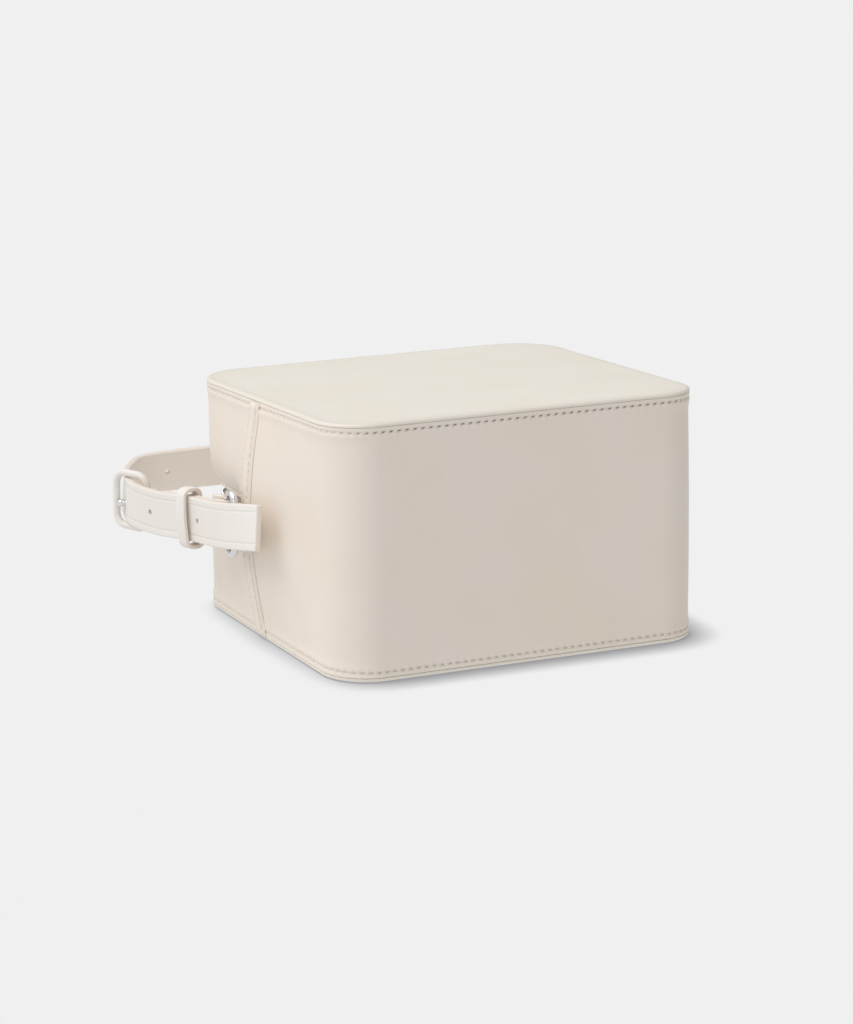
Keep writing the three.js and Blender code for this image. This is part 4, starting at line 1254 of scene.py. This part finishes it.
zipper = {
    "tapeHeight": 24.0,
    "tape": 1.0,
    "teethHeight": 5.0,
    "teeth": 2.0,
    "tapeStep": 1.2,
    "endMargin": 2.0,
    "toothPitch": 1.6,
    "sliderPlace": 0.26,
    "sliderLength": 10.0,
    "sliderHeight": 9.0,
    "sliderNoseHeight": 6.3,
    "sliderThickness": 2.6,
    "sliderNeck": 1.0,
    "pullLength": 22.0,
    "pullHeight": 7.0,
    "pullThickness": 1.6,
}
tapeInset = bag["wallLeather"] + 2 * clear
tapeStart = mainGirth + seamGap + zipper["endMargin"]
tapeEnd = outlineLength - seamGap - zipper["endMargin"]
teethInset = tapeInset - clear - zipper["teeth"]


def zipPoint(distance, rise, inset):
    # As far in as the flaps' edges, or as the wall itself where that lies further in
    x, y, outX, outY = outlineAt(distance)
    middle = midLevel(y)
    edge, own = wallPoint(distance, middle, inset), wallPoint(distance, middle + rise, inset)
    standing = (own[..., 0] - edge[..., 0]) * outX + (own[..., 1] - edge[..., 1]) * outY
    place = np.where((standing < 0)[..., None], own, edge)
    place[..., 2] = middle + rise
    return place


def zipTape():
    distance = np.linspace(tapeStart, tapeEnd, int((tapeEnd - tapeStart) / zipper["tapeStep"]))[:, None]
    half = zipper["tapeHeight"] / 2
    rise = np.linspace(-half, half, 25)[None, :]
    outer = zipPoint(distance + 0 * rise, rise + 0 * distance, tapeInset)
    inner = zipPoint(distance + 0 * rise, rise[:, ::-1] + 0 * distance, tapeInset + zipper["tape"])
    rings = np.concatenate([outer, inner], axis=1)
    marks = {"run": np.tile(distance, (1, rings.shape[1])),
             "rise": np.concatenate([rise, rise[:, ::-1]], axis=1) + 0 * distance}
    sweptPiece("zip_tape_cloth", rings, zipCloth, ["zip_tape"], marks)


def zipTeeth():
    # Each tooth is a small block with rounded ends that reaches past the middle, from below and above in turn
    count = int((tapeEnd - tapeStart - 2) / (zipper["toothPitch"] / 2))
    k = np.arange(count)
    distance = tapeStart + 1 + k * zipper["toothPitch"] / 2
    side = np.where(k % 2 == 0, -1.0, 1.0)
    along = np.array([-0.5, 0.5, 0.62, 0.5, -0.5, -0.62]) * zipper["toothPitch"] * 0.42
    rise = np.array([-1.0, -1.0, 0.1, 0.32, 0.32, 0.1]) * zipper["teethHeight"] / 2
    depth = np.array([0.0, 0.25, 1.0]) * zipper["teeth"]
    grow = np.array([0.72, 1.0, 1.0])
    d = distance[:, None, None] + along[None, None, :] * grow[None, :, None]
    r = side[:, None, None] * rise[None, None, :] * np.array([0.94, 1.0, 1.0])[None, :, None]
    inset = teethInset + depth[None, :, None] + 0 * d
    points = zipPoint(d, r + 0 * d, inset)
    one = gridFaces(3, 6, False, True) + stripCap(0, 6, True) + stripCap(12, 6, False)
    faces = []
    for tooth in range(count):
        block = [[corner + tooth * 18 for corner in face] for face in one]
        faces += block if side[tooth] > 0 else [face[::-1] for face in block]
    makePiece("zip_teeth_metal", points, faces, silver, ["zip_teeth"])


def zipSlider():
    # A tapered body over the teeth, its edges rounded, and the pull that lies along the zip behind it
    centre = lerp(tapeStart, tapeEnd, zipper["sliderPlace"])
    length, foot = zipper["sliderLength"], teethInset - 2 * clear
    pieces = []
    for name, start, end, tallStart, tallEnd, thick, radius in (
            ("zip_slider_body", -length / 2, length / 2, zipper["sliderHeight"], zipper["sliderNoseHeight"],
             zipper["sliderThickness"], 1.0),
            ("zip_pull", length / 2 + zipper["sliderNeck"] * 0.4, length / 2 + zipper["pullLength"],
             zipper["pullHeight"], zipper["pullHeight"], zipper["pullThickness"], 0.5)):
        ends = np.array([0, 0.1, 0.35, 0.7, 1.0]) * radius
        between = np.linspace(start + radius, end - radius, 10)[1:-1]
        run = np.concatenate([start + ends, between, end - ends[::-1]])
        fromEnd = np.minimum(run - start, end - run)
        half = lerp(tallStart, tallEnd, (run - start) / (end - start)) / 2 - edgeRound(fromEnd, 2 * radius)
        section = bandSection(radius)
        across = np.minimum(section["fromEdge"][None, :] - half[:, None], 0)
        across = np.concatenate([across, -across[:, ::-1]], axis=1)
        drop = np.concatenate([section["plainDrop"], section["plainDrop"][::-1]])[None, :]
        drop = drop + edgeRound(fromEnd, radius)[:, None]
        x, y, outX, outY = outlineAt(centre + run[:, None] + 0 * across)
        level = midLevel(y)
        flatOuter = wallPoint(centre + run[:, None] + 0 * across, level, foot - thick + drop)
        flatInner = wallPoint(centre + run[:, None] + 0 * across, level, foot + 0 * drop)
        flatOuter[..., 2] += across
        flatInner[..., 2] -= across
        pieces.append((name, np.concatenate([flatOuter, flatInner], axis=1)))
    (bodyName, body), (pullName, pull) = pieces
    sweptPiece(bodyName, body, silver, ["zip_slider"])
    sweptPiece(pullName, pull, silver)


zipTape()
zipTeeth()
zipSlider()
print("zip done")


# Camera, light and floor

view = {
    "lens": 124.07,
    "elevation": 14.01,
    "turn": -25.56,
    "distance": 1603.65,
    "right": -6.435,
    "up": -5.698,
    "target": (-2.0, 2.0, 55.0),
}


def photoCamera():
    # Looks along the given turn and elevation at the target, moved right and up in its own plane
    elevation, turn = math.radians(view["elevation"]), math.radians(view["turn"])
    back = np.array([math.sin(turn) * math.cos(elevation), -math.cos(turn) * math.cos(elevation),
                     math.sin(elevation)])
    right = np.array([math.cos(turn), math.sin(turn), 0.0])
    up = np.cross(back, right)
    place = np.array(view["target"]) + back * view["distance"] + right * view["right"] + up * view["up"]
    data = bpy.data.cameras.new("photoCamera")
    data.lens = view["lens"]
    data.sensor_width = 36.0
    data.clip_start = 0.05
    data.clip_end = 50.0
    camera = bpy.data.objects.new("photoCamera", data)
    camera.location = place * millimetre + bagOrigin
    camera.rotation_euler = (math.pi / 2 - elevation, 0.0, turn)
    bpy.context.scene.collection.objects.link(camera)
    bpy.context.scene.camera = camera


studio = {
    "backdrop": 0.871,
    "floorGlow": 0.80,     # what the floor gives to the bag
    "sky": 0.57,
    "skyTilt": 0.36,       # how much brighter the sky is on the left
    "brightSide": (-0.97, 0.25, 0.0),
    "sun": 1.5,
    "sunAngle": 60.0,
    "sunFrom": (-0.5, 0.1, 1.0),
    "lamp": 0.13,
    "lampPlace": (-430.0, -330.0, 260.0),
    "lampSize": 0.35,
    "floorHalf": 30.0,     # metres
    "floorGap": 0.0002,    # metres below the bag
    # The floor's contact shadow is painted into its glow
    "contactReach": 0.019,
    "contactLean": (-0.4, 0.6, 1.0),    # the contact shade falls away from this side
    "contactRange": (0.36, 0.9),
    "contactTone": (0.33, 0.33, 0.345),
}


def addNode(tree, kind, settings=None, inputs=None):
    node = tree.nodes.new(kind)
    for name, value in (settings or {}).items():
        setattr(node, name, value)
    for place, value in (inputs or {}).items():
        if isinstance(value, bpy.types.NodeSocket):
            tree.links.new(value, node.inputs[place])
        else:
            node.inputs[place].default_value = value
    return node


def studioLight():
    # A sky that is brighter towards one side, a wide sun from above, and a soft lamp near the left corner
    world = bpy.data.worlds.new("studio")
    world.use_nodes = True
    tree = world.node_tree
    direction = addNode(tree, "ShaderNodeTexCoord").outputs["Generated"]
    side = addNode(tree, "ShaderNodeVectorMath", {"operation": "DOT_PRODUCT"},
                   {0: direction, 1: studio["brightSide"]}).outputs["Value"]
    glow = addNode(tree, "ShaderNodeMath", {"operation": "MULTIPLY_ADD"},
                   {0: side, 1: studio["sky"] * studio["skyTilt"], 2: studio["sky"]}).outputs[0]
    seen = addNode(tree, "ShaderNodeLightPath").outputs["Is Camera Ray"]
    strength = addNode(tree, "ShaderNodeMix", {"data_type": "FLOAT"},
                       {0: seen, 2: glow, 3: studio["backdrop"]})
    tree.links.new(strength.outputs[0], tree.nodes["Background"].inputs["Strength"])
    tree.nodes["Background"].inputs["Color"].default_value = (1.0, 1.0, 1.0, 1.0)
    bpy.context.scene.world = world
    addLight("softSun", "SUN", studio["sun"], studio["sunFrom"]).angle = math.radians(studio["sunAngle"])
    place = np.array(studio["lampPlace"])
    lamp = addLight("cornerLamp", "AREA", studio["lamp"], place - np.array([0, 0, 50.0]), place)
    lamp.shape = "DISK"
    lamp.size = studio["lampSize"]


def addLight(name, kind, energy, towards, place=(0.0, 0.0, 0.0)):
    # Shines from the given direction, or from a place in millimetres
    data = bpy.data.lights.new(name, kind)
    data.energy = energy
    light = bpy.data.objects.new(name, data)
    x, y, z = towards
    light.rotation_euler = (math.atan2(math.hypot(x, y), z), 0.0, math.atan2(y, x) + math.pi / 2)
    light.location = np.array(place) * millimetre + bagOrigin
    bpy.context.scene.collection.objects.link(light)
    return data


def floor():
    # A wide pale floor that glows at the backdrop's tone, with a painted shadow where the bag comes close to
    # it that only the camera sees
    half = studio["floorHalf"]
    mesh = bpy.data.meshes.new("floor")
    corners = [(-half, -half, 0), (half, -half, 0), (half, half, 0), (-half, half, 0)]
    mesh.from_pydata(corners, [], [(0, 1, 2, 3)])
    material = bpy.data.materials.new("paleFloor")
    material.use_nodes = True
    tree = material.node_tree
    tree.nodes.clear()
    x, y, z = studio["contactLean"]
    lean = addNode(tree, "ShaderNodeCombineXYZ", None, {0: x, 1: y, 2: z}).outputs[0]
    lean = addNode(tree, "ShaderNodeVectorMath", {"operation": "NORMALIZE"}, {0: lean}).outputs[0]
    near = addNode(tree, "ShaderNodeAmbientOcclusion", {"samples": 16},
                   {"Distance": studio["contactReach"], "Normal": lean}).outputs["AO"]
    low, high = studio["contactRange"]
    clearness = addNode(tree, "ShaderNodeMapRange", None, {"Value": near, "From Min": low, "From Max": high})
    seen = addNode(tree, "ShaderNodeLightPath").outputs["Is Camera Ray"]
    # painted shadow: the glow darkens towards the contact tone near the bag, for camera rays only
    shade = addNode(tree, "ShaderNodeMix", {"data_type": "RGBA"},
                    {0: clearness.outputs[0], 6: (*studio["contactTone"], 1.0),
                     7: (*[studio["backdrop"]] * 3, 1.0)}).outputs[2]
    shade = addNode(tree, "ShaderNodeMix", {"data_type": "RGBA"},
                    {0: seen, 6: (*[studio["floorGlow"]] * 3, 1.0), 7: shade}).outputs[2]
    glow = addNode(tree, "ShaderNodeEmission", None, {"Color": shade})
    output = addNode(tree, "ShaderNodeOutputMaterial")
    tree.links.new(glow.outputs[0], output.inputs["Surface"])
    mesh.materials.append(material)
    plane = bpy.data.objects.new("floor", mesh)
    plane.location.z = panelLow.z - studio["floorGap"]
    bpy.context.scene.collection.objects.link(plane)


photoCamera()
studioLight()
floor()
bpy.context.scene.view_settings.view_transform = "Standard"
bpy.context.scene.view_settings.look = "None"
